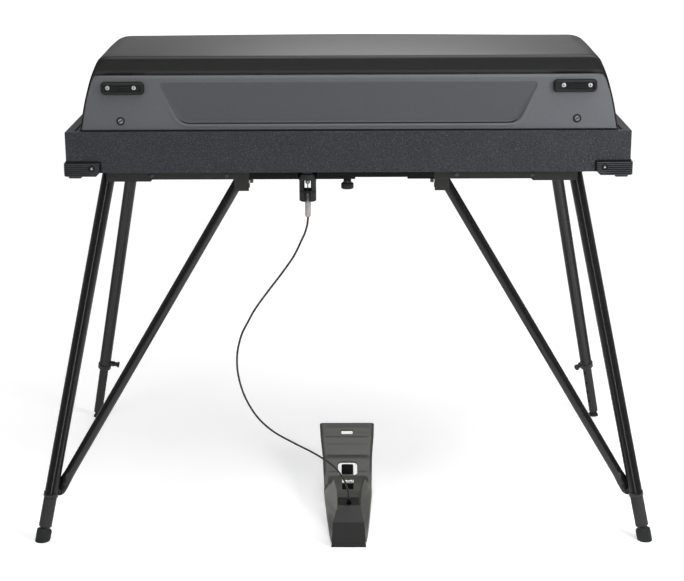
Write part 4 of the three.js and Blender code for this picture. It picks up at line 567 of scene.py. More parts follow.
def hood_points():
    """Rows of the shell's outer face. The rear face runs out from the panel's opening to the
    outline and rolls over its edge by a quarter turn. Each row ahead of it is a cross-section."""
    rear, crease, opening, crown_top = 10.0, 237.0, 199.6, 250.5
    hole_x, hole_z = hood_outline(opening, hood_foot, 5.0)
    hole_x = hole_x - 3.0 * np.clip(hole_x / 30, -1, 1)
    rim_x, rim_z = hood_outline(crease, hood_foot, 13.0)
    tangent_x, tangent_z = np.gradient(rim_x[0]), np.gradient(rim_z[0])
    length = np.hypot(tangent_x, tangent_z)
    out_x, out_z = -tangent_z / length, tangent_x / length
    edge = 2.5 + 6.5 * np.clip((rim_z[0] - 180) / 50, 0, 1) ** 2
    rows = []
    for share in (0.0, 0.35, 0.7, 1.0):
        x = hole_x[0] + (rim_x[0] - edge * out_x - hole_x[0]) * share
        z = hole_z[0] + (rim_z[0] - edge * out_z - hole_z[0]) * share
        rows.append(np.column_stack([x, np.full(len(x), rear), z]))
    for angle in np.radians((18, 36, 54, 72, 90)):
        inset = edge * (1 - np.sin(angle))
        depth = rear + edge * (1 - np.cos(angle))
        rows.append(np.column_stack([rim_x[0] - inset * out_x, depth, rim_z[0] - inset * out_z]))
    spine = np.vstack([bend((19, crease), (120, crown_top), (240, crown_top), 26),
                       bend((240, crown_top), (276, 249.5), (318, 239.5), 12),
                       bend((318, 239.5), (375.6, 224), (375.8, 159.3), 22),
                       [(375.9, 150), (375.95, 141), (376.0, 134.5)]])
    lift = np.clip((spine[:, 0] - 348) / 14, 0, 1)
    foot = hood_foot + 52 * lift * lift * (3 - 2 * lift)
    radius = np.interp(spine[:, 0], (19, 80, 300, 376), (13, 18, 20, 12))
    radius = np.minimum(radius, 0.8 * (spine[:, 1] - foot))
    x, z = hood_outline(spine[:, 1], foot, radius)
    crown = np.where(x > 0, 4.4, 2.2) * np.clip(np.abs(x) / 430, 0, 1) ** 1.6
    z = z - crown * np.clip((z - 239) / 9, 0, 1)
    ahead = np.stack([x, np.broadcast_to(spine[:, :1], x.shape), z], -1)
    return np.concatenate([np.array(rows), ahead])


# Vacuum-formed ABS: black plastic with a fine matt grain that greys in raking light. Its
# broad sheen is what makes the top look light and the upright band look black.
hood_plastic = mottled("formed_abs", "#151514", 0.42, 0.003, "#121211", "#191918", (0.36, 0.48),
                       0.00004, IOR=1.53)
hood_at = (0.015, -0.284, 0.779)
hood = shown("hood_cover", [net(hood_points())], hood_at, "hood", hood_plastic,
             ["hood_shell"], closed=False, sharp=60)
wall = hood.modifiers.new("wall", "SOLIDIFY")
wall.thickness = hood_wall / 1000
wall.offset = -1.0

# Rear panel: a moulded plate let into the rear of the hood, with a wide shallow recess whose
# rim stands out as a bead at its foot and ends and runs out towards its top.
panel_rear, panel_thick, panel_top, panel_foot, panel_gap = 7.3, 5.0, 199.3, 85.3, 3.6


def panel_loop(top, foot, top_half, foot_half, corner, low_corner, bow=None):
    """A closed loop round a trapezoid, clockwise seen from the rear: its straight lines with a
    curve at each corner whose control point is the corner. bow gives half widths by height."""
    lean = (top_half - foot_half) / (top - foot)
    across = np.linspace(-1, 1, 60)[:, None]
    upper = np.hstack([across * (top_half - corner), np.full(across.shape, top)])
    lower = np.hstack([-across * (foot_half - low_corner), np.full(across.shape, foot)])
    down = np.linspace(top - corner, foot + low_corner, 16)
    half = foot_half + lean * (down - foot) if bow is None else bow(down)
    right = np.column_stack([half, down])
    left = right[::-1] * (-1, 1)
    curves = [bend(upper[-1], (top_half, top), right[0], 8)[:-1],
              bend(right[-1], (foot_half, foot), lower[0], 8)[:-1],
              bend(lower[-1], (-foot_half, foot), left[0], 8)[:-1],
              bend(left[-1], (-top_half, top), upper[0], 8)[:-1]]
    return np.vstack([upper, curves[0], right, curves[1], lower, curves[2], left, curves[3]])


def top_roll(loop):
    """How far the plate's top rolls forward: 4.4 mm times a power of the height in its roll."""
    return 4.4 * np.clip((loop[:, 1] - 190.5) / 8.8, 0, 1) ** 1.4


def panel_rings():
    """Rings from the recess out to the plate's edge and back to its front face. Each ring is the
    recess's rim grown by an outset, at a share of a depth that is least at the top, or at the height
    of the bead, which fades towards the top. A groove runs along the foot, and the plate's top
    rolls forward by a power of the height."""
    recess_top, recess_foot, recess_top_half, recess_foot_half = 184, 99.4, 384.4, 342.4
    steps = [(-9.0, 1.0, 0), (-5.2, 0.95, 0), (-3.4, 0.72, 0), (-2.5, 0.6, 0), (-2.2, 0.5, 2.2),
             (-0.2, 0.5, 2.2), (0.1, 0.3, 0), (0.9, -0.9, 0), (2.2, -1.7, 0), (3.6, -1.9, 0),
             (5.0, -1.5, 0), (6.6, -0.6, 0), (8.0, 0.0, 0), (9.0, 0.0, 0)]
    rings = []
    for outset, depth, groove in steps:
        loop = panel_loop(recess_top + outset, recess_foot - outset, recess_top_half + 1.1 * outset,
                          recess_foot_half + 1.1 * outset, max(13 + 0.9 * outset, 3), 19 + outset)
        bead = np.clip((150 - loop[:, 1]) / 40, 0.0, 1.0)
        recess = 4.4 - 3.7 * np.clip((loop[:, 1] - 99) / 87, 0, 1)
        level = np.where(depth < 0, depth * bead, depth * recess)
        level = level + groove * np.clip((108 - loop[:, 1]) / 8, 0, 1)
        level = panel_rear + level + top_roll(loop)
        rings.append(np.column_stack([loop[:, 0], level, loop[:, 1]]))
    for inset, depth in ((2.6, 0.0), (1.2, 0.4), (0.3, 1.4), (0.0, 2.6), (0.0, panel_thick)):
        short = panel_gap + inset
        loop = panel_loop(panel_top - inset, panel_foot + inset, hood_half(panel_top) - short,
                          hood_half(panel_foot) - short, 1.5, 1.5,
                          bow=lambda height: hood_half(height, 1.0) - short)
        level = np.minimum(panel_rear + depth + top_roll(loop), panel_rear + panel_thick)
        rings.append(np.column_stack([loop[:, 0], level, loop[:, 1]]))
    return np.array(rings)


def tinted(finish, attribute, colour):
    """Mixes a colour into a finish by the share that an attribute of the mesh's points gives."""
    tree = finish.node_tree
    base = tree.nodes["Principled BSDF"].inputs["Base Color"]
    share = add(tree, "Attribute", attribute_name=attribute).outputs["Fac"]
    both = {0: share, 6: base.links[0].from_socket, 7: linear(colour)}
    tree.links.new(add(tree, "Mix", both, data_type="RGBA").outputs[2], base)


# Grey moulded ABS: a fine leather-like grain from the mould, dull, with a slight cool cast. The recess
# is painted a little darker than the rest as shade, and the groove along its foot darker still as the
# shade inside it.
grey_plastic = mottled("grey_moulded_abs", "#55575b", 0.48, 0.0022, "#515357", "#5a5c60",
                       (0.42, 0.54), 0.00005, IOR=1.53)
# Painted shade, mixed in by the share that the attribute sunk gives.
tinted(grey_plastic, "sunk", "#17181a")
plate_rings = panel_rings()
plate = shown("rear_panel_plate", [net(plate_rings, wrap_v=True, caps=True)], hood_at, "hood",
              grey_plastic, ["hood_rear_panel"], sharp=50)
# Painted shade by ring: the recess a little, the groove near the foot most, easing to the recess's
# level higher up, and none outside the rim.
ring_shade_shares = np.array([0.36, 0.36, 0.36, 0.36, 0.95, 0.95, 0.2] + [0.0] * 12)[:, None]
away_from_foot = np.clip((plate_rings[..., 2] - 100) / 8, 0, 1)
shares = ring_shade_shares + (np.minimum(ring_shade_shares, 0.36) - ring_shade_shares) * away_from_foot
plate.data.attributes.new("sunk", "FLOAT", "POINT").data.foreach_set("value", shares.ravel())
# Bare black nylon of the cups and the bumpers' gaskets: the darkest surface here, dull. It is also the
# painted shade of the panel's foot gap, the studs' slots and the bracket collar's opening.
black_nylon_and_shade = mottled("black_nylon_and_shade", "#090909", 0.6, 0.002, "#070707", "#0d0d0d", (0.52, 0.7),
                      0.00003, IOR=1.53)
# A near-black strip along the panel's foot is painted as the shadow of the gap between the panel and
# the case.
shade_strip_height = panel_foot + 1.5
foot_gap_shade = slab(2 * float(hood_half(shade_strip_height)) - 9, 2.8, 0.8, [(0, 0), (0, 0.8)], 4)
shown("panel_foot_shade", [moved(foot_gap_shade, (0, panel_rear - 0.2, shade_strip_height + 0.1), outward)], hood_at,
      "hood", black_nylon_and_shade)

# Round fasteners: quarter-turn studs that hold the panel, black cups sunk flush into it with a steel
# head at the bottom, whose slot is a near-black bar painted as the slot's shade.
cup = [(5.2, 0.2), (5.4, 0.5), (6.2, 0.5), (6.8, 0.9), (7.8, 0.9), (8.5, 0.4), (8.5, 0.0)]
stud = [(5.3, 0.2), (5.3, 0.9), (4.6, 1.5), (0.02, 1.7)]
# Galvanised steel of the studs: mid grey and satin, with a soft spangle.
galvanised_steel = mottled("galvanised_steel", "#85878a", 0.4, 0.0015, "#737578", "#9a9c9f",
                           (0.32, 0.5), 0.00004, Metallic=0.5)
# Painted shade: the slot is a near-black bar on the stud's head.
slot_shade_bar = slab(10.0, 1.9, 0.2, [(0, 0), (0, 0.2), (0.1, 0.3)], 2)
slot_tilt = [(0.82, 0, 0.57), (-0.57, 0, 0.82), (0, -1, 0)]
for side_name, across, height in (("left", -462.6, 106.0), ("right", 462.0, 108.9)):
    seat = np.array([across, panel_rear - 0.2, height])
    rim = [(radius, out + 0.2) for radius, out in cup]
    slot_shade = moved(slot_shade_bar, seat + (0, -1.55, 0), slot_tilt)
    shown(f"panel_fastener_{side_name}", [turned(rim, seat, to_rear, 40), slot_shade], hood_at, "hood",
          black_nylon_and_shade)
    shown(f"panel_stud_{side_name}", [turned(stud, seat, to_rear, 28)], hood_at, "hood",
          galvanised_steel)

# Bumpers: two moulded rubber bars on the rear panel, each in a raised rim with four fine ribs
# between the two bright screws that hold it. The two are not quite level with each other.
both_sides = (("left", -1), ("right", 1))
bumper_half, bumper_high, bumper_floor = 44.0, 27.0, 5.9
bumper_across, bumper_height, bumper_tilt = 456.0, 174.3, 1.2
gasket_levels = [(0, 0), (0, 1.6), (0.8, 2.4), (1.6, 2.6)]
bumper_levels = [(0, 0), (0, 7.6), (0.5, 8.8), (1.2, 9.6), (2.0, 10), (2.8, 9.9), (3.2, 9.2),
                 (3.5, 6.4), (4.0, 6.0)]
rib_levels = [(0, 0), (0, 2.0), (0.3, 2.5), (0.6, 2.6)]
screw_pit = [(4.4, 0.2), (4.5, 0.7), (5.0, 1.2), (5.8, 1.1), (6.4, 0.3), (6.4, 0)]
# Moulded rubber: black EPDM, almost without gloss, with a bloom of fine dust in the grain.
moulded_rubber = mottled("moulded_rubber", "#1b1c1d", 0.7, 0.0018, "#171819", "#222324", (0.6, 0.8),
                         0.00008, IOR=1.52)
for side_name, side in both_sides:
    middle = np.array([side * bumper_across, panel_rear - 0.3, bumper_height + side * bumper_tilt])
    base = moved(slab(2 * bumper_half, bumper_high, 9, gasket_levels), middle, outward)
    parts = [moved(slab(2 * bumper_half - 4.4, bumper_high - 4.4, 7, bumper_levels), middle, outward)]
    floor_at = middle + (0, -bumper_floor, 0)
    for row in (-6.9, -2.3, 2.3, 6.9):
        rib = slab(38, 1.9, 0.8, rib_levels, 4)
        parts.append(moved(rib, floor_at + (side * 2.6, 0, row), outward))
    seats = [floor_at + (side * across, 0, 1.6) for across in (-23.6, 29.6)]
    parts += [turned(screw_pit, seat, to_rear, 32) for seat in seats]
    shown(f"bumper_gasket_{side_name}", [base], hood_at, "hood", black_nylon_and_shade)
    shown(f"bumper_{side_name}", parts, hood_at, "hood", moulded_rubber,
          [f"rear_bumper_{side_name}"])
    seats = [seat + (0, -0.1, 0) for seat in seats]
    heads = [screw_head(4.3, 1.9, seat) for seat in seats]
    crosses = [bar for seat in seats for bar in screw_cross(4.3, 1.9, seat)]
    shown(f"bumper_screws_{side_name}", heads, hood_at, "hood", plated_steel_and_glint)
    # The dark crosses on the bright heads are painted shade in the screws' recesses.
    shown(f"bumper_crosses_{side_name}", crosses, hood_at, "hood", oxide_steel_and_shade)

# Rails and leg plates: folded steel channels screwed under the case, each with a plate and a
# socket for its leg and, at the rear, a forked block for the brace.
stand_at = (0.0, -0.284, 0.0)
# Powder coat on steel: thermoset paint, black and matt, with the slight orange peel of spraying. It is
# darkened to near black as painted shade under the case, on the bar between the rails and on the front
# leg plates.
powder_coat = mottled("powder_coat", "#0c0c0d", 0.55, 0.0025, "#0a0a0b", "#101011", (0.48, 0.62),
                      0.00005, IOR=1.5, Specular_IOR_Level=0.25)
# Powder coat of the channels and blocks: the same black coat, left a dark grey, lighter than the bar
# between the rails that is painted as shade.
channel_coat = mottled("channel_powder_coat", "#242423", 0.56, 0.0022, "#1f1f1e", "#2a2a28", (0.5, 0.64),
                    0.00006, IOR=1.5)
bar_half = 0.19


def channel_part(x, y, z):
    """Faces of the channel and its forked block, outside the bar that joins both rails."""
    return np.abs(x) > bar_half


# The channels and blocks take the dark grey coat, and the bar between the rails keeps the near-black
# painted shade.
for side_name, side in both_sides:
    trims = [(lambda x, y, z: z < 0.7295, (0, 0, 0.007)),
             (lambda x, y, z: (np.abs(x) > 0.2270) & (np.abs(x) < 0.2280), (-0.006 * side, 0, 0))]
    softened(f"rear_rail_{side_name}", f"rear_rail_{side_name}_painted", 1.2, powder_coat,
             "frame", nudges=trims, cuts=[((bar_half * side, 0, 0), (1, 0, 0))],
             paints=[(channel_coat, channel_part)])
for side_name in ("left", "right"):
    softened(f"front_leg_plate_{side_name}", f"front_plate_{side_name}_painted", 1.2, powder_coat,
             "frame")

# Bolts of the blocks and plates: domed hexagon heads on washers, black oxide, with bright
# spacers inside the blocks.
block_inner, rail_low = 191.5, 761.0


def bolt_head(place, facing, across, high):
    """A hexagon head on a round washer: six flats with a chamfered top, turned to face a way."""
    washer = [(0.64 * across, 0), (0.64 * across, 0.9), (0.58 * across, 1.2), (0.3 * across, 1.2)]
    corner = 0.577 * across
    hexagon = [(corner, 1.0), (corner, high), (0.84 * corner, high + 0.5), (0.02, high + 0.5)]
    return [turned(washer, place, facing, 32), turned(hexagon, place, facing, 6)]


bolts, spacers = [], []
for side in (-1, 1):
    seat = np.array([side * block_inner, 32, rail_low - 4.5])
    bolts += bolt_head(seat - (side * 3, 0, 0), (-side, 0, 0), 9.5, 5.5)
    for across in (390.0, 236.0):
        bolts += bolt_head((side * across, 20.2, 769.5), to_rear, 6.5, 1.6)
    spacers.append(turned([(5.4, -0.2), (5.4, 3.1)], seat, (-side, 0, 0), 32))
shown("rail_bolts", bolts, stand_at, "frame", oxide_steel_and_shade, sharp=30)
shown("block_spacers", spacers, stand_at, "frame", plated_steel_and_glint)

# Release lever of the right rear socket: a bent steel tongue beside the leg.
lever = slab(17, 16, 4, [(0.8, 0), (0, 0.8), (0, 3.2), (0.8, 4)], 6)
tip = slab(5, 14, 2.4, [(0.6, -4.0), (0, -3.4), (0, 1.2)], 5)
shown("socket_lever", [moved(lever, (491.5, 58, 771.5)), moved(tip, (496.5, 58, 771.5))], stand_at,
      "frame", oxide_steel_and_shade)


# Rear legs: straight steel tubes, 28 mm, that splay out and back from the sockets. Enamelled gloss
# black above the collar, and a plain dark sleeve with the levelling foot below it.
under_case = 779.0
leg_top = {"rear": np.array([483.0, 76.0, under_case]), "front": np.array([483.0, 514.0, under_case])}
leg_foot = {"rear": np.array([640.0, -82.0, 0.0]), "front": np.array([640.0, 672.0, 0.0])}


def on_leg(place, height):
    """The point of a leg's line at a height."""
    return leg_top[place] + (leg_foot[place] - leg_top[place]) * (under_case - height) / under_case


def leg_turned(place, profile, levels=(), hollow=False):
    """A profile of radius and height turned about a leg's slanted line. levels gives, for a row of
    the profile, the height of the flat cut that the row's points slide to along the line."""
    top, foot = leg_top[place], leg_foot[place]
    down = (foot - top) / np.linalg.norm(foot - top)
    rows = [(radius, (height - top[2]) / down[2]) for radius, height in profile]
    points, faces = turned(rows, top, down, hollow=hollow)
    points = points.reshape(len(profile), -1, 3)
    for row, level in dict(levels).items():
        points[row] += down * ((level - points[row][:, 2:]) / down[2])
    return points.reshape(-1, 3), faces


def mirror(part, side):
    """The part, or its mirror image across the middle of the stand for side -1."""
    points, faces = part
    return points * (side, 1, 1), faces


# Enamelled steel: gloss black stoving enamel on a drawn tube, with a crisp streak of light
# along each tube and hardly any texture.
enamelled_steel = mottled("enamelled_steel", "#121212", 0.24, 0.004, "#0f0f0f", "#151515",
                          (0.2, 0.3), stretch=(1, 1, 0.2), IOR=1.5, Coat_Weight=0.3)
# Rolled steel sleeve: dark phosphate finish, dull, with a fine drawn grain.
phosphate_steel = mottled("phosphate_steel", "#2b2b2a", 0.58, 0.002, "#262625", "#323230",
                          (0.55, 0.7), 0.00004, IOR=1.5)
rear_tube = [(13.0, 778.7), (14, 778.7), (14, 104), (14.3, 103.2), (15.2, 103), (15.5, 102.4),
             (15.5, 94), (15.2, 93.3), (14.4, 93), (13.4, 93)]
rear_sleeve = [(13.2, 96), (13.6, 95), (13.6, 32), (13.2, 30.6), (12.2, 30), (6.6, 30),
               (6.4, 34), (6.4, 54)]
tube_end = {0: 778.7, 1: 778.7}
# Moulded foot: hard black rubber with a turned steel neck, screwed into the sleeve.
foot_rubber = [(10.8, 26.4), (13.4, 25.2), (15.2, 23.6), (15.8, 21.5), (15.8, 9), (15.6, 2.0),
               (14.8, 0.6), (13.6, 0)]
foot_neck = [(5.9, 43), (5.9, 27.6), (10.2, 27.6), (10.6, 27.2), (10.6, 25.6), (10.0, 25)]
for side_name, side in both_sides:
    foot_body = f"rear_foot_{side_name}"
    shown(f"rear_leg_tube_{side_name}", [mirror(leg_turned("rear", rear_tube, tube_end), side)],
          stand_at, "frame", enamelled_steel, [f"rear_leg_{side_name}"])
    shown(f"rear_leg_sleeve_{side_name}", [mirror(leg_turned("rear", rear_sleeve), side)], stand_at,
          "frame", phosphate_steel)
    boot = leg_turned("rear", foot_rubber, {5: 1.4, 6: 0.4, 7: 0.0})
    shown(f"rear_foot_boot_{side_name}", [mirror(boot, side)], stand_at, foot_body, moulded_rubber,
          [foot_body])
    shown(f"rear_foot_neck_{side_name}", [mirror(leg_turned("rear", foot_neck), side)], stand_at,
          foot_body, oxide_steel_and_shade)

# Braces: 22 mm tubes, pinned in the blocks' forks, pressed flat at the foot and bolted to the
# leg at its collar.
brace_top = np.array([212.5, 41.0, 754.5])


def brace_tube():
    """A tube whose section turns from a circle into a flat rounded bar: the half widths along two
    cross directions are blended over the last stretch, and the end is a half round. Returns it
    with the place and the direction of its bolt."""
    lug = on_leg("rear", 96) + (-13.1, 12.5, 0)
    length = np.linalg.norm(lug - brace_top)
    down = (lug - brace_top) / length
    flat = np.cross(down, leg_foot["rear"] - leg_top["rear"])
    flat /= np.linalg.norm(flat)
    wide = np.cross(down, flat)
    round_end = np.linspace(0.15, 1.5, 10)
    run = np.concatenate([[0, 0.0, 0.5, 1.4], np.linspace(8, length - 58, 30),
                          np.linspace(length - 56, length - 12, 26),
                          length - 12 + 17 * np.sin(round_end)])
    ends = np.concatenate([[0.01, 0.92, 0.97, 1.0], np.ones(56), np.cos(round_end)])
    blend = np.clip((run - length + 52) / 30, 0, 1)
    blend = blend * blend * (3 - 2 * blend)
    thick = (11 - 8.0 * blend) * np.maximum(ends, np.where(blend > 0.9, 0.75, 0))
    width = (11 + 1.6 * blend) * ends
    angle = np.linspace(0, 2 * np.pi, 48, endpoint=False)
    power = (1 - 0.4 * blend)[:, None]
    cosine, sine = np.cos(angle)[None], np.sin(angle)[None]
    a = np.sign(cosine) * np.abs(cosine) ** power * thick[:, None]
    b = np.sign(sine) * np.abs(sine) ** power * width[:, None]
    points = brace_top + run[:, None, None] * down + a[..., None] * flat + b[..., None] * wide
    return net(points, wrap_v=True, caps=True), lug - 4 * down, flat * -np.sign(flat[1])


brace_bar, bolt_at, bolt_out = brace_tube()
brace_bolts = [*bolt_head(bolt_at + 2.6 * bolt_out, bolt_out, 8.0, 4.0),
               turned([(4.0, -13.2), (4.0, 13.2)], brace_top + (5, 0, -8.5), (0, 1, 0), 24)]
for side_name, side in both_sides:
    shown(f"brace_tube_{side_name}", [mirror(brace_bar, side)], stand_at, "frame", enamelled_steel,
          [f"brace_{side_name}"], sharp=50)
    shown(f"brace_bolts_{side_name}", [mirror(part, side) for part in brace_bolts], stand_at, "frame",
          oxide_steel_and_shade, sharp=30)

# Front legs: an outer tube that ends in a rolled ring, with the threaded boss of its index
# plunger, and a bare dark inner tube with index holes that slides in it.
plunger_height, ball_height = 156.0, 15.0
outer_tube = [(11.1, 778.7), (14, 778.7), (14, 154.5), (14.6, 153.4), (16.2, 153), (16.5, 152.3),
              (16.5, 142), (16.1, 141.2), (15, 141), (11.6, 141), (11.1, 142)]
boss = [(3.4, 11.5), (7, 11.5), (7, 22.6), (6.4, 23.8), (5.2, 24), (3.4, 24)]
plunger_knob = [(0.02, 11.4), (3, 11.4), (3, 24.3), (5.6, 24.3), (5.8, 25.4), (5.3, 28),
                (5.6, 30.4), (7.1, 31.6), (7.5, 33.0), (7.5, 35.2), (6.9, 36.2), (0.02, 36.3)]
glide_shape = [(0.02, 0), (11.6, 0), (12.6, 0.7), (12.7, 2.2), (11.8, 4.2), (8.2, 9.4), (6.8, 10.4),
               (3.0, 10.8), (3.0, 11.6), (4.2, 12.3), (5, 14.6), (4.6, 17), (3.2, 19), (0.02, 20)]
# Each plunger points inwards, the right one turned by about 40 degrees.
for side_name, side, turn in (("left", -1, 0.0), ("right", 1, 0.22)):
    down = leg_foot["front"] - leg_top["front"]
    down /= np.linalg.norm(down)
    centre = on_leg("front", plunger_height)
    inward = np.array([-math.cos(turn * math.pi), -math.sin(turn * math.pi), 0.0])
    inward -= down * inward.dot(down)
    outer = [leg_turned("front", outer_tube, tube_end, hollow=True),
             turned(boss, centre, inward, 32, hollow=True)]
    shown(f"front_tube_{side_name}", [mirror(part, side) for part in outer], stand_at, "frame",
          enamelled_steel, [f"front_leg_tube_{side_name}"])
    softened(f"front_leg_slide_{side_name}", f"front_slide_{side_name}", 0.5, phosphate_steel,
             f"slide_{side_name}", 2, 40)
    knob = turned(plunger_knob, centre, inward, 40)
    shown(f"index_plunger_{side_name}", [mirror(knob, side)], stand_at, f"plunger_{side_name}",
          moulded_nylon, [f"plunger_{side_name}"], sharp=50)
    glide = turned(glide_shape, on_leg("front", ball_height) * (1, 1, 0), straight_up)
    shown(f"front_glide_{side_name}", [mirror(glide, side)], stand_at, f"glide_{side_name}",
          moulded_rubber, [f"front_foot_{side_name}"], sharp=50)

# Thumbscrew: a moulded knob with deep flutes round a black steel screw, with a lock nut.
flutes, knob_sides = 12, 144


def fluted_knob(profile, place, depth):
    """Rings about an upright line, from rows of radius, height and a share of the flutes' depth.
    The radius dips by a power of a cosine of the angle at each flute."""
    profile = np.array(profile, float)
    angle = np.linspace(0, 2 * np.pi, knob_sides, endpoint=False)
    dip = depth * np.clip(0.5 - np.cos(flutes * angle), 0, 1) ** 1.5
    radius = profile[:, :1] - dip[None] * profile[:, 2:3]
    points = np.stack([radius * np.cos(angle), radius * np.sin(angle),
                       np.broadcast_to(profile[:, 1:2], radius.shape)], -1) + np.array(place)
    return net(points, wrap_v=True, caps=True)


thumb_at = (11.5, 41.0, 736.6)
thumb_rows = [(9.5, 0, 0), (11.6, 0.4, 0.5), (12.8, 1.6, 1), (13, 3.2, 1), (13, 9.6, 1),
              (12.6, 11.4, 1), (11.4, 12.6, 0.6), (9.0, 13, 0)]
stem = [(6, 12), (6, 42)]
lock_nut = [(7.6, 13.4), (8.2, 14.0), (8.2, 18.4), (7.0, 20.2), (6.2, 21)]
shown("thumbscrew_knob", [fluted_knob(thumb_rows, thumb_at, 1.5)], stand_at, "thumbscrew",
      moulded_nylon, ["rail_thumbscrew"], sharp=50)
shown("thumbscrew_stem", [turned(rows, thumb_at, straight_up, 32) for rows in (stem, lock_nut)],
      stand_at, "thumbscrew", oxide_steel_and_shade)

# Cable bracket: a moulded black cage under the rail. Its two posts leave windows in which the
# connector of the pull rod shows, and the collar below is slotted at the rear.
cage_at = np.array([-70.5, 38.0, 0.0])


def arc_net(section, start, end, sides, place):
    """A closed section of radius and height swept about an upright line from one angle to another,
    in degrees, as cosines and sines of the angle, with flat ends unless it goes all the way round."""
    section = np.array(section, float)
    whole = abs(end - start) >= 360
    angle = np.radians(np.linspace(start, end, sides, endpoint=not whole))[:, None]
    points = np.stack([section[:, 0] * np.cos(angle), section[:, 0] * np.sin(angle),
                       np.broadcast_to(section[:, 1], (sides, len(section)))], -1) + place
    return net(points, wrap_u=whole, wrap_v=True, caps=not whole)


def ring_section(inner, outer, low, high, edge=0.8):
    """A rectangle of radius and height with its corners cut by a small edge."""
    return [(inner, low + edge), (inner + edge, low), (outer - edge, low), (outer, low + edge),
            (outer, high - edge), (outer - edge, high), (inner + edge, high), (inner, high - edge)]


post = ring_section(13, 17.5, 731.0, 771.0, 0.4)
cage = [arc_net(ring_section(13, 17.5, 770.2, 778.7), 0, 360, 64, cage_at),
        arc_net(ring_section(16.6, 20.8, 758.0, 770.6), 0, 360, 64, cage_at),
        arc_net(post, -59, 59, 32, cage_at),
        arc_net(post, 121, 239, 32, cage_at),
        arc_net(ring_section(11.2, 17.5, 712.9, 731.7), -68, 248, 64, cage_at),
        arc_net(ring_section(6.3, 17.5, 712.4, 716.4), -68, 248, 64, cage_at)]
# Painted shade: a near-black ring over the collar's top, standing for the shade of its opening round
# the sleeve.
collar_shade_ring = arc_net(ring_section(6.2, 17.6, 731.5, 735.7, 0.4), 0, 360, 64, cage_at)
shown("bracket_collar_shade", [collar_shade_ring], stand_at, "frame", black_nylon_and_shade, sharp=30)
shown("bracket_cage", cage, stand_at, "frame", moulded_nylon, ["cable_bracket"],
      sharp=30)
# Anodised aluminium sleeve: pale grey, evenly matt, turned.
anodised_sleeve = mottled("anodised_sleeve", "#aaa6a5", 0.45, 0.0012, "#a09c9b", "#b4b0af",
                          (0.38, 0.52), stretch=(1, 1, 0.3), Metallic=0.35)
sleeve_rows = [(0.02, 678.4), (4.2, 677.7), (4.8, 678.2), (6, 681), (6, 730), (5.4, 731), (3, 731),
               (3, 700), (0.02, 700)]
shown("adjuster_sleeve", [turned(sleeve_rows, cage_at, straight_up, 40)], stand_at, "frame",
      anodised_sleeve, ["cable_adjuster"])
# Pull rod: a plated rod with a turned connector, which lifts the damper rail.
rod_rows = [(1.2, 723.7), (1.2, 747), (2.6, 747.7), (2.8, 747.9), (4.7, 749.8), (4.7, 752.6),
            (4.3, 753.0), (4.3, 754), (4.7, 754.4), (4.7, 768.6), (3.4, 771.4), (3, 772.7), (3, 915.0),
            (2.6, 915.4)]
shown("pull_rod_bright", [turned(rod_rows, cage_at, straight_up, 40)], stand_at, "damper",
      plated_steel_and_glint, ["pull_rod"])

# Treadle: one sheet of 3 mm steel. A flat plate with rolled sides and shallow stiffening ridges
# runs down over two folds into a trough, whose flared cheeks stand beside the toe box.
pedal_at, sheet_thick = (0.012, -0.284, 0.0), 0.003
# Rows along the sheet: distance, then half width and height at the fold, the crease and the edge.
treadle_rows = np.array([
    (-112, 28, 12, 33, 12, 37.5, 12), (-80, 28, 12, 34, 12, 41, 12),
    (-30, 26.5, 14, 36, 18, 44.5, 24), (22, 25.5, 17, 37, 27, 48.5, 38),
    (54, 25, 20, 38, 34, 51, 46), (62, 25.2, 23, 39, 36, 51.5, 48),
    (90, 27, 38, 44.4, 53.8, 52.7, 53.8), (123, 36, 60.7, 45, 60.7, 54, 60.7),
    (190, 37, 74.6, 46, 74.6, 56, 74.6), (200, 37, 78, 46, 78, 56.3, 78),
    (290, 40, 94, 50, 94, 62, 94), (337, 41, 107, 52, 107, 64, 107)], float)
# Ridges across the plate: distance, height and width.
ridges = ((202.0, 2.0, 3.0), (284.0, 1.1, 3.0), (253.0, 0.6, 4.0), (142.5, 0.9, 2.5),
          (318.0, -0.8, 9.0))


def along_sheet(column, run):
    """A column of the rows at a distance, as the mean over a few millimetres, so folds are round."""
    return np.mean([np.interp(run + step, treadle_rows[:, 0], treadle_rows[:, column])
                    for step in np.linspace(-2.5, 2.5, 7)], 0)


def sheet_height(across, run):
    """Height of the sheet: straight from fold to crease to edge, eased over the folds, plus ridges
    that are bell curves of the distance, minus a power of the way out over the rolled sides."""
    fold, fold_z, crease, crease_z, edge, edge_z = (along_sheet(place, run) for place in range(1, 7))
    heights = []
    for step in np.linspace(-1.6, 1.6, 7):
        from_middle = np.minimum(np.abs(across) + step, edge)
        up = np.clip((from_middle - fold) / (crease - fold), 0, 1) * (crease_z - fold_z)
        flared = np.clip((from_middle - crease) / (edge - crease), 0, 1) * (edge_z - crease_z)
        heights.append(up + flared)
    height = fold_z + np.mean(heights, 0)
    inside = np.clip((edge - 8 - np.abs(across)) / 8, 0, 1)
    for middle, high, wide in ridges:
        height = height + high * inside * np.exp(-((run - middle) / wide) ** 2)
    rolled = np.clip((np.abs(across) - edge + 6) / 6, 0, 1) ** 1.6 * np.clip((run - 118) / 30, 0, 1)
    return height - 3.0 * rolled


def box_distance(across, run, near, far, half, corner):
    """Signed distance to a rounded rectangle between two distances along the sheet."""
    out_x = np.abs(across) - half + corner
    out_r = np.abs(run - (near + far) / 2) - (far - near) / 2 + corner
    outside = np.hypot(np.maximum(out_x, 0), np.maximum(out_r, 0))
    return outside + np.minimum(np.maximum(out_x, out_r), 0) - corner


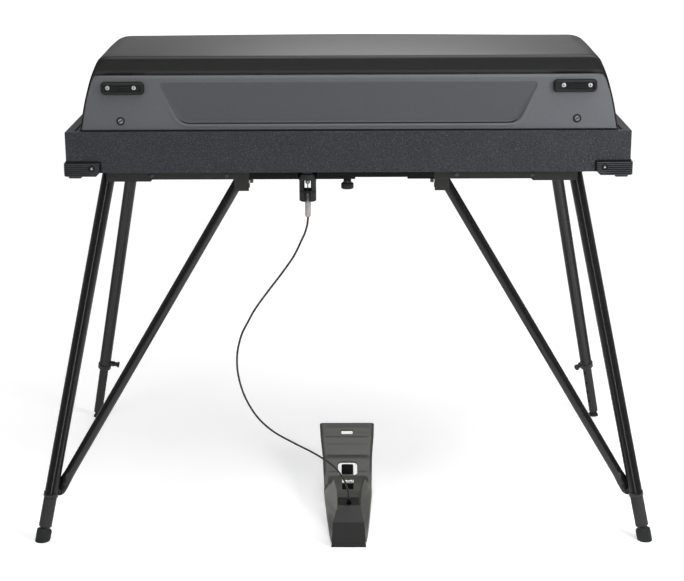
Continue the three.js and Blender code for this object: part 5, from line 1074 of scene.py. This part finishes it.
def hole_distance(across, run):
    """Signed distance to the nearest hole: hand slot, arched window round its tongue, strip slot,
    and the opening for the cable's gland."""
    window, tongue, hand_slot, strip_slot, opening = (
        box_distance(across, run, *box) for box in
        ((127, 179, 21.5, 10), (110, 169.5, 13, 4), (294, 309.5, 13, 2), (109, 116.5, 13, 1),
         (-27.5, 75, 23.5, 2)))
    return np.min([np.maximum(window, -tongue), hand_slot, strip_slot, opening], 0)


def treadle_net():
    """The sheet's upper face as a fine grid. Cells in a hole are left out, and the corners round
    it are moved down the distance's slope onto its rim."""
    run = np.repeat(np.linspace(-111, 337, 300)[:, None], 87, 1)
    across = np.linspace(-1, 1, 87)[None] * along_sheet(5, run)
    distance = hole_distance(across, run)
    cell = (distance[:-1, :-1] + distance[1:, :-1] + distance[:-1, 1:] + distance[1:, 1:]) / 4 > 0
    kept, cut = np.zeros(run.shape, bool), np.zeros(run.shape, bool)
    for rows, columns in ((slice(0, -1), slice(0, -1)), (slice(1, None), slice(0, -1)),
                          (slice(0, -1), slice(1, None)), (slice(1, None), slice(1, None))):
        kept[rows, columns] |= cell
        cut[rows, columns] |= ~cell
    small = 0.05
    slope_x = (hole_distance(across + small, run) - distance) / small
    slope_r = (hole_distance(across, run + small) - distance) / small
    rim = kept & cut
    across = np.where(rim, across - distance * slope_x, across)
    run = np.where(rim, run - distance * slope_r, run)
    height = sheet_height(across, run)
    points, faces = net(np.stack([across - 0.0145 * (run + 95), run, height], -1))
    faces = np.array(faces)[cell.ravel()]
    used, numbered = np.unique(faces, return_inverse=True)
    return points[used], numbered.reshape(faces.shape).tolist()


# Painted sheet steel: warm grey stoving enamel, satin, with painted light on the flared cheeks, which
# are mixed towards a lighter grey.
treadle_enamel = mottled("treadle_enamel", "#383833", 0.42, 0.02, "#33332e", "#3e3e39", (0.36, 0.5),
                         0.00012, (0.25, 1, 1), IOR=1.5)
tinted(treadle_enamel, "cheek_light", "#6c6c66")
sheet_points, sheet_faces = treadle_net()
sheet = shown("treadle_sheet", [(sheet_points, sheet_faces)], pedal_at, "treadle", treadle_enamel,
              ["pedal_treadle"], closed=False, sharp=60)
# The painted light starts beyond the fold and ends on a slanting line across the cheek.
from_middle, run = np.abs(sheet_points[:, 0]), sheet_points[:, 1]
beyond_fold = np.clip((from_middle - along_sheet(1, run) + 1) / 3, 0, 1)
cheek_light_share = beyond_fold * np.clip((35 + (118 - run) * 0.42 - from_middle) / 2, 0, 1)
sheet.data.attributes.new("cheek_light", "FLOAT", "POINT").data.foreach_set("value", cheek_light_share)
gauge = sheet.modifiers.new("gauge", "SOLIDIFY")
gauge.thickness = sheet_thick
gauge.offset = -1.0
knuckle = [(4.3, -19.7), (7.6, -19.7), (8, -19.3), (8, 19.3), (7.6, 19.7), (4.3, 19.7)]
pin_at = (0, -95, 18)
shown("treadle_knuckle", [turned(knuckle, pin_at, (1, 0, 0), 40, hollow=True),
                          moved(slab(39, 14, 1, [(0, 9.4), (0, 12)], 3), (0, -84, 0))],
      pedal_at, "treadle", treadle_enamel)

# Pads of the treadle: a black rubber grip over the window's tongue, and a near-black pad in the trough
# painted as the shade of a slot there.
incline = [(1, 0, 0), (0, 0.979, 0.203), (0, -0.203, 0.979)]
steep = [(1, 0, 0), (0, 0.851, 0.525), (0, -0.525, 0.851)]
# Nitrile rubber: deep black and oily, almost without gloss. In the trough it is the painted shade of a
# slot.
nitrile_rubber_and_shade = mottled("nitrile_rubber_and_shade", "#030303", 0.7, 0.003, "#020202", "#050504", (0.62, 0.78),
                         0.00005, IOR=1.52, Specular_IOR_Level=0.1)
pad = slab(25.4, 38, 4, [(0, 0), (0, 1.2), (0.6, 1.8), (1.4, 2.0)], 8)
# Painted shade: the near-black pad in the trough stands for a slot's shade.
slot_shade_pad = slab(25, 14, 1.2, [(0, 0), (0, 1.0), (0.5, 1.5)], 5)
shown("treadle_pads", [moved(pad, (-4.8, 149.5, 66.0), incline),
                       moved(slot_shade_pad, (-2.8, 100.5, 45.0), steep)],
      pedal_at, "treadle", nitrile_rubber_and_shade)

# Toe box, base plate, hinge pin and return spring: a folded black cover over the toe, a plate
# with two ears on the floor, a bright pin and a wound wire, and the rubber gland on its post that
# takes the cable.
# Textured black paint: an epoxy wrinkle of about 1 mm on the toe box and the base.
wrinkle_paint = mottled("wrinkle_paint", "#151514", 0.5, 0.0012, "#121211", "#191918", (0.42, 0.58),
                        0.00008, IOR=1.5)
softened("pedal_toe_cover", "toe_box", 2.6, wrinkle_paint, "frame", 4)
sunk = [(lambda x, y, z: (np.hypot(x - pedal_at[0], y - pedal_at[1]) < 0.0095) & (z > 0.035),
         (0, 0, -0.012))]
softened("pedal_base", "pedal_base_painted", 0.6, wrinkle_paint, "frame", nudges=sunk)
gland_rows = [(0.02, 48), (5.4, 48), (5.6, 49), (4.8, 51.2), (2.8, 57.2), (2.3, 57.6), (0.02, 57.6)]
post_rows = [(3.2, 30), (3.2, 48.6)]
shown("cable_gland", [turned(gland_rows, (0, 0, 0), straight_up, 32)], pedal_at, "frame",
      nitrile_rubber_and_shade)
shown("gland_post", [turned(post_rows, (0, 0, 0), straight_up, 24)], pedal_at, "frame",
      wrinkle_paint)
# Bright drawn steel: polished wire and pins, sharp in their reflections.
bright_steel = mottled("bright_steel", "#dddcd8", 0.2, 0.0015, "#cfcec9", "#e8e7e4", (0.14, 0.3),
                       stretch=(1, 1, 0.2), Metallic=1.0)
pin_rows = [(3.6, -26), (4, -25.6), (4, 25.6), (3.6, 26)]
shown("hinge_pin_bright", [turned(pin_rows, pin_at, (1, 0, 0), 32)], pedal_at, "frame",
      bright_steel, ["pedal_hinge_pin"])
coil_turns, coil_radius = 8, 8
turn_share = np.linspace(0, 1, coil_turns * 28 + 1)
angle = 2 * coil_turns * np.pi * turn_share
coil = np.column_stack([coil_radius * np.cos(angle), 138 + coil_radius * np.sin(angle),
                        4.1 + 53 * turn_share])
spring = shown("return_spring", [net(tube(coil, 0.8, 10), wrap_v=True, caps=True)], pedal_at,
               "frame", bright_steel, ["pedal_spring"])
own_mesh(spring)

# Cheek blocks: solid blocks at both ends of the keys, moulded with rounded edges and screwed to
# the tray from below.
# Moulded ABS blocks: black, satin, with a fine etched grain.
cheek_plastic = mottled("etched_abs", "#1c1c1d", 0.42, 0.002, "#181819", "#222224", (0.36, 0.5),
                        0.00006, IOR=1.53)
for side_name in ("left", "right"):
    softened(f"cheek_block_{side_name}", f"cheek_{side_name}", 3.0, cheek_plastic,
             "frame", 4)

# Keys: 73 wooden levers on a frame. Naturals have a moulded acrylic top and front, sharps a black
# top glued on, and each lifts its hammer with a bump at its rear end.
key_top, sharp_root, plastic_from, key_front = 0.852, 0.8526, 0.1, 0.2869
# Moulded acrylic: ivory white, glossy and a little milky, faintly uneven from use.
key_acrylic = mottled("key_acrylic", "#e9e6dc", 0.22, 0.03, "#e6e2d7", "#eceadf", (0.18, 0.3),
                      0.00002, IOR=1.49)
# Black phenolic of the sharps: deep black with a polished top.
key_phenolic = mottled("key_phenolic", "#171718", 0.26, 0.01, "#131314", "#1c1c1d", (0.2, 0.34),
                       0.00002, IOR=1.6)
# Basswood levers: pale, straight grained along each key, planed and bare.
key_wood = mottled("key_basswood", "#cdb083", 0.6, 0.0016, "#c19f6e", "#d9c096", (0.5, 0.7),
                   0.00008, (1, 0.05, 1), IOR=1.5)


def white_part(x, y, z):
    """Faces of a natural's plastic top and front."""
    return ((z > key_top - 0.0034) & (y > plastic_from)) | (y > key_front)


def black_part(x, y, z):
    """Faces of a sharp's raised top."""
    return (z > sharp_root) & (y > plastic_from - 0.006)


key_cuts = [((0, 0, key_top - 0.0035), (0, 0, 1)), ((0, plastic_from, 0), (0, 1, 0))]
softened("keyboard", "keys_resting", 0.7, key_wood, "frame", 2, cuts=key_cuts,
         paints=[(key_acrylic, white_part), (key_phenolic, black_part)])
for tone in ("c4", "d4", "e4"):
    softened(f"key_{tone}", f"natural_{tone}", 0.7, key_wood, f"key_{tone}", 2,
             cuts=key_cuts, paints=[(key_acrylic, white_part)])
for tone in ("c_sharp4", "d_sharp4"):
    softened(f"key_{tone}", f"sharp_{tone}", 0.9, key_wood, f"key_{tone}", 2,
             cuts=key_cuts, paints=[(key_phenolic, black_part)])

# Hammers and their rail: maple levers with black rubber tips, hinged on an extruded aluminium
# rail that runs between two cast end supports.
tip_low, tip_from, rail_front, levers_top, levers_half = 0.8855, -0.0585, -0.1375, 0.8925, 0.5063
# Maple: pale and close grained, planed along each hammer.
hammer_maple = mottled("hammer_maple", "#cfb48a", 0.5, 0.001, "#c3a377", "#dcc6a1", (0.42, 0.6),
                       0.00005, (1, 0.08, 1), IOR=1.5)
# Extruded aluminium: silvery grey with fine drawn lines along the rail.
drawn_aluminium = mottled("drawn_aluminium", "#b9bab9", 0.36, 0.0008, "#acaeae", "#c6c7c5",
                          (0.3, 0.5), 0.00003, (0.04, 1, 1), Metallic=1.0)


def maple_part(x, y, z):
    """Faces of the levers, ahead of the rail and between the end supports."""
    return (y > rail_front) & (np.abs(x - case_at[0]) < levers_half) & (z < levers_top)


def tip_part(x, y, z):
    """Faces of the rubber tips at the top of the hammers' heads."""
    return maple_part(x, y, z) & (z > tip_low) & (y > tip_from)


tip_cut = [((0, 0, tip_low), (0, 0, 1))]
softened("action_rail", "hammer_rail", 0.5, drawn_aluminium, "frame", 2,
         cuts=tip_cut, paints=[(hammer_maple, maple_part), (nitrile_rubber_and_shade, tip_part)])
for tone in ("c4", "c_sharp4", "d4", "d_sharp4", "e4"):
    softened(f"hammer_{tone}", f"hammer_lever_{tone}", 0.5, hammer_maple,
             f"hammer_{tone}", 2, cuts=tip_cut, paints=[(nitrile_rubber_and_shade, tip_part)])

# Harp: a stepped rail of tone bars over their tines, zinc plated, that rests on the end supports.
# Yellow chromate over zinc: a thin golden film with a faint rainbow of green and rose.
chromate_zinc = mottled("chromate_zinc", "#b5a573", 0.34, 0.012, "#a8a06e", "#c0a87c", (0.28, 0.44),
                        0.00003, Metallic=1.0)
softened("harp", "tone_bars", 0.4, chromate_zinc, "frame", 2,
         paints=[(bright_steel, lambda x, y, z: z < 0.9335)])

# Pickups: one coil before each tine on a stepped aluminium rail, wound with copper wire under
# brown tape between two flanges.
softened("pickup_rail", "pickup_bar", 0.5, drawn_aluminium, "frame", 2)
tine_long, tine_short, strike_at, behind_strike = 157.0, 18.0, 222.0, 0.36
natural, tone_count, damper_count = 23.5, 73, 61
tones = np.arange(tone_count) + 4
octave, step = tones // 12, tones % 12
in_octave = np.where(step < 5, (step + 0.5) * 3 * natural / 5,
                     3 * natural + (step - 4.5) * 4 * natural / 7)
tone_x = 43 * natural / 2 - (octave * 7 * natural - 2 * natural) - in_octave
tine = tine_long * (tine_short / tine_long) ** (np.arange(tone_count) / (tone_count - 1))
tine_tip = strike_at + (1 - behind_strike) * tine
coil_rows = [(4.6, 2.2), (6.3, 2.2), (6.3, 3.2), (5.4, 3.2), (5.4, 7.4), (6.3, 7.4),
             (6.3, 8.4), (4.6, 8.4)]
coils = [turned(coil_rows, (across, tip, 152.0), (0, 1, 0), 14, hollow=True)
         for across, tip in zip(tone_x, tine_tip)]
# Varnished cloth tape on the coils: dark amber brown, satin, showing the copper beneath.
coil_tape = mottled("varnished_tape", "#5a3420", 0.4, 0.0012, "#47281a", "#6e4228", (0.32, 0.5),
                    0.00005, (1, 0.3, 1), IOR=1.5)
shown("pickup_coils", coils, case_at, "frame", coil_tape, sharp=30)

# Damper rail: a maple bar with a comb of spring steel arms, whose ends carry felt pads that rest
# on the tines.
softened("damper_rail", "damper_comb", 0.4, bright_steel, "damper", 2,
         paints=[(hammer_maple, lambda x, y, z: z < 0.9265)])
damper_pad = slab(7.2, 5.6, 1, [(0.4, 0), (0, 0.4), (0, 2.2), (0.4, 2.6)], 3)
pads = [moved(damper_pad, (across + 2.6, tip - 7.6, 145.2))
        for across, tip in zip(tone_x[:damper_count], tine_tip)]
# Pressed wool felt: undyed off white, fuzzy and without gloss.
wool_felt = mottled("wool_felt", "#d9d2c0", 0.95, 0.0012, "#cfc7b3", "#e4decf", (0.9, 1.0), 0.0002,
                    Sheen_Weight=0.4)
shown("damper_pads", pads, case_at, "damper", wool_felt, sharp=50)

# Control panel: aluminium sheet bent to a face and a sloping top over the keys' rear ends, with
# fine white scales round its three knobs.
# Black anodised aluminium: dyed oxide, satin, brushed along its length.
black_anodised = mottled("black_anodised", "#232325", 0.38, 0.0008, "#1d1d1f", "#2a2a2c",
                         (0.32, 0.46), 0.00003, (0.03, 1, 1), Metallic=0.6)
softened("control_panel", "panel_sheet", 0.8, black_anodised, "frame")
knob_x = {"volume": 470.0, "bass": 408.0, "treble": 346.0}
knob_height, panel_front = 106.5, 421.0
facing_player = [(1, 0, 0), (0, 0, -1), (0, 1, 0)]
marks, mark = [], slab(0.7, 2.2, 0.2, [(0, -0.1), (0, 0.1), (0.1, 0.12)], 2)
scale_radius = 15.5
for across in knob_x.values():
    for turn in np.radians(np.linspace(-140, 140, 11)):
        spin = [(math.cos(turn), -math.sin(turn), 0), (math.sin(turn), math.cos(turn), 0), (0, 0, 1)]
        line = moved(mark, scale_radius * np.array(spin[1]), spin)
        marks.append(moved(line, (across, panel_front, knob_height), facing_player))
# Printed epoxy ink: dense off white, a little raised, with slight gaps over the brushing.
scale_ink = mottled("printed_ink", "#d8d6cf", 0.55, 0.0006, "#cbc9c2", "#e2e0d9", (0.5, 0.65),
                    0.00002)
shown("knob_scales", marks, case_at, "frame", scale_ink)
about_face = [(-1, 0, 0), (0, -1, 0), (0, 0, 1)]
panel_screws = [moved(screw_head(3.2, 1.3, (0, 0, 0)), (across, panel_front - 0.1, 95.0), about_face)
                for across in (-540, -270, 0, 270, 540)]
shown("panel_screws", panel_screws, case_at, "frame", oxide_steel_and_shade)

# Knobs: moulded phenolic with twelve flutes over a round skirt, pushed on the shafts of the
# potentiometers, each with a white line.
# Moulded phenolic: black and glossy, hardly any texture.
knob_phenolic = mottled("knob_phenolic", "#141415", 0.2, 0.003, "#111112", "#19191a", (0.16, 0.28),
                        0.00002, IOR=1.6)
knob_rows = [(12.4, 0.1, 0), (13, 0.5, 0), (13, 1.6, 0), (12.6, 2.2, 0), (11.2, 2.6, 0.8),
             (11, 4, 1), (10.6, 13.4, 1), (10.2, 14.5, 0.8), (9.4, 15.0, 0.3), (8.6, 15.0, 0),
             (8.0, 14.6, 0), (0.02, 14.6, 0)]
knob_line = moved(slab(0.9, 7.4, 0.2, [(0, 14.5), (0, 14.75), (0.1, 14.8)], 2), (0, -4.6, 0))
for knob_name, across in knob_x.items():
    seat = (across, panel_front, knob_height)
    body = moved(fluted_knob(knob_rows, (0, 0, 0), 1.1), seat, facing_player)
    shown(f"knob_{knob_name}_moulded", [body], case_at, knob_name, knob_phenolic,
          [f"knob_{knob_name}"], sharp=35)
    shown(f"knob_{knob_name}_line", [moved(knob_line, seat, facing_player)], case_at, knob_name,
          scale_ink)

# Preamplifier board: fibreglass laminate behind the panel, with the three potentiometers whose
# plated cans hold it there.
# Solder mask over copper: green lacquer, glossy, with paler lines where the tracks run.
solder_mask, tree, shader, place = new_finish("solder_mask", "#2f5a3c", 0.28, IOR=1.5)
upright = add(tree, "Mapping", {"Vector": place, "Rotation": (math.radians(90), 0, 0)}).outputs[0]
tracks = add(tree, "TexBrick", {"Vector": upright, "Scale": 60.0, "Mortar Size": 0.018,
                                "Color1": linear("#2a5237"), "Color2": linear("#305c3e"),
                                "Mortar": linear("#4d7f50")})
tree.links.new(tracks.outputs["Color"], shader.inputs["Base Color"])
softened("preamp_board", "preamp_board_made", 0.4, solder_mask, "frame", 2,
         paints=[(plated_steel_and_glint, lambda x, y, z: y > 0.1262)])
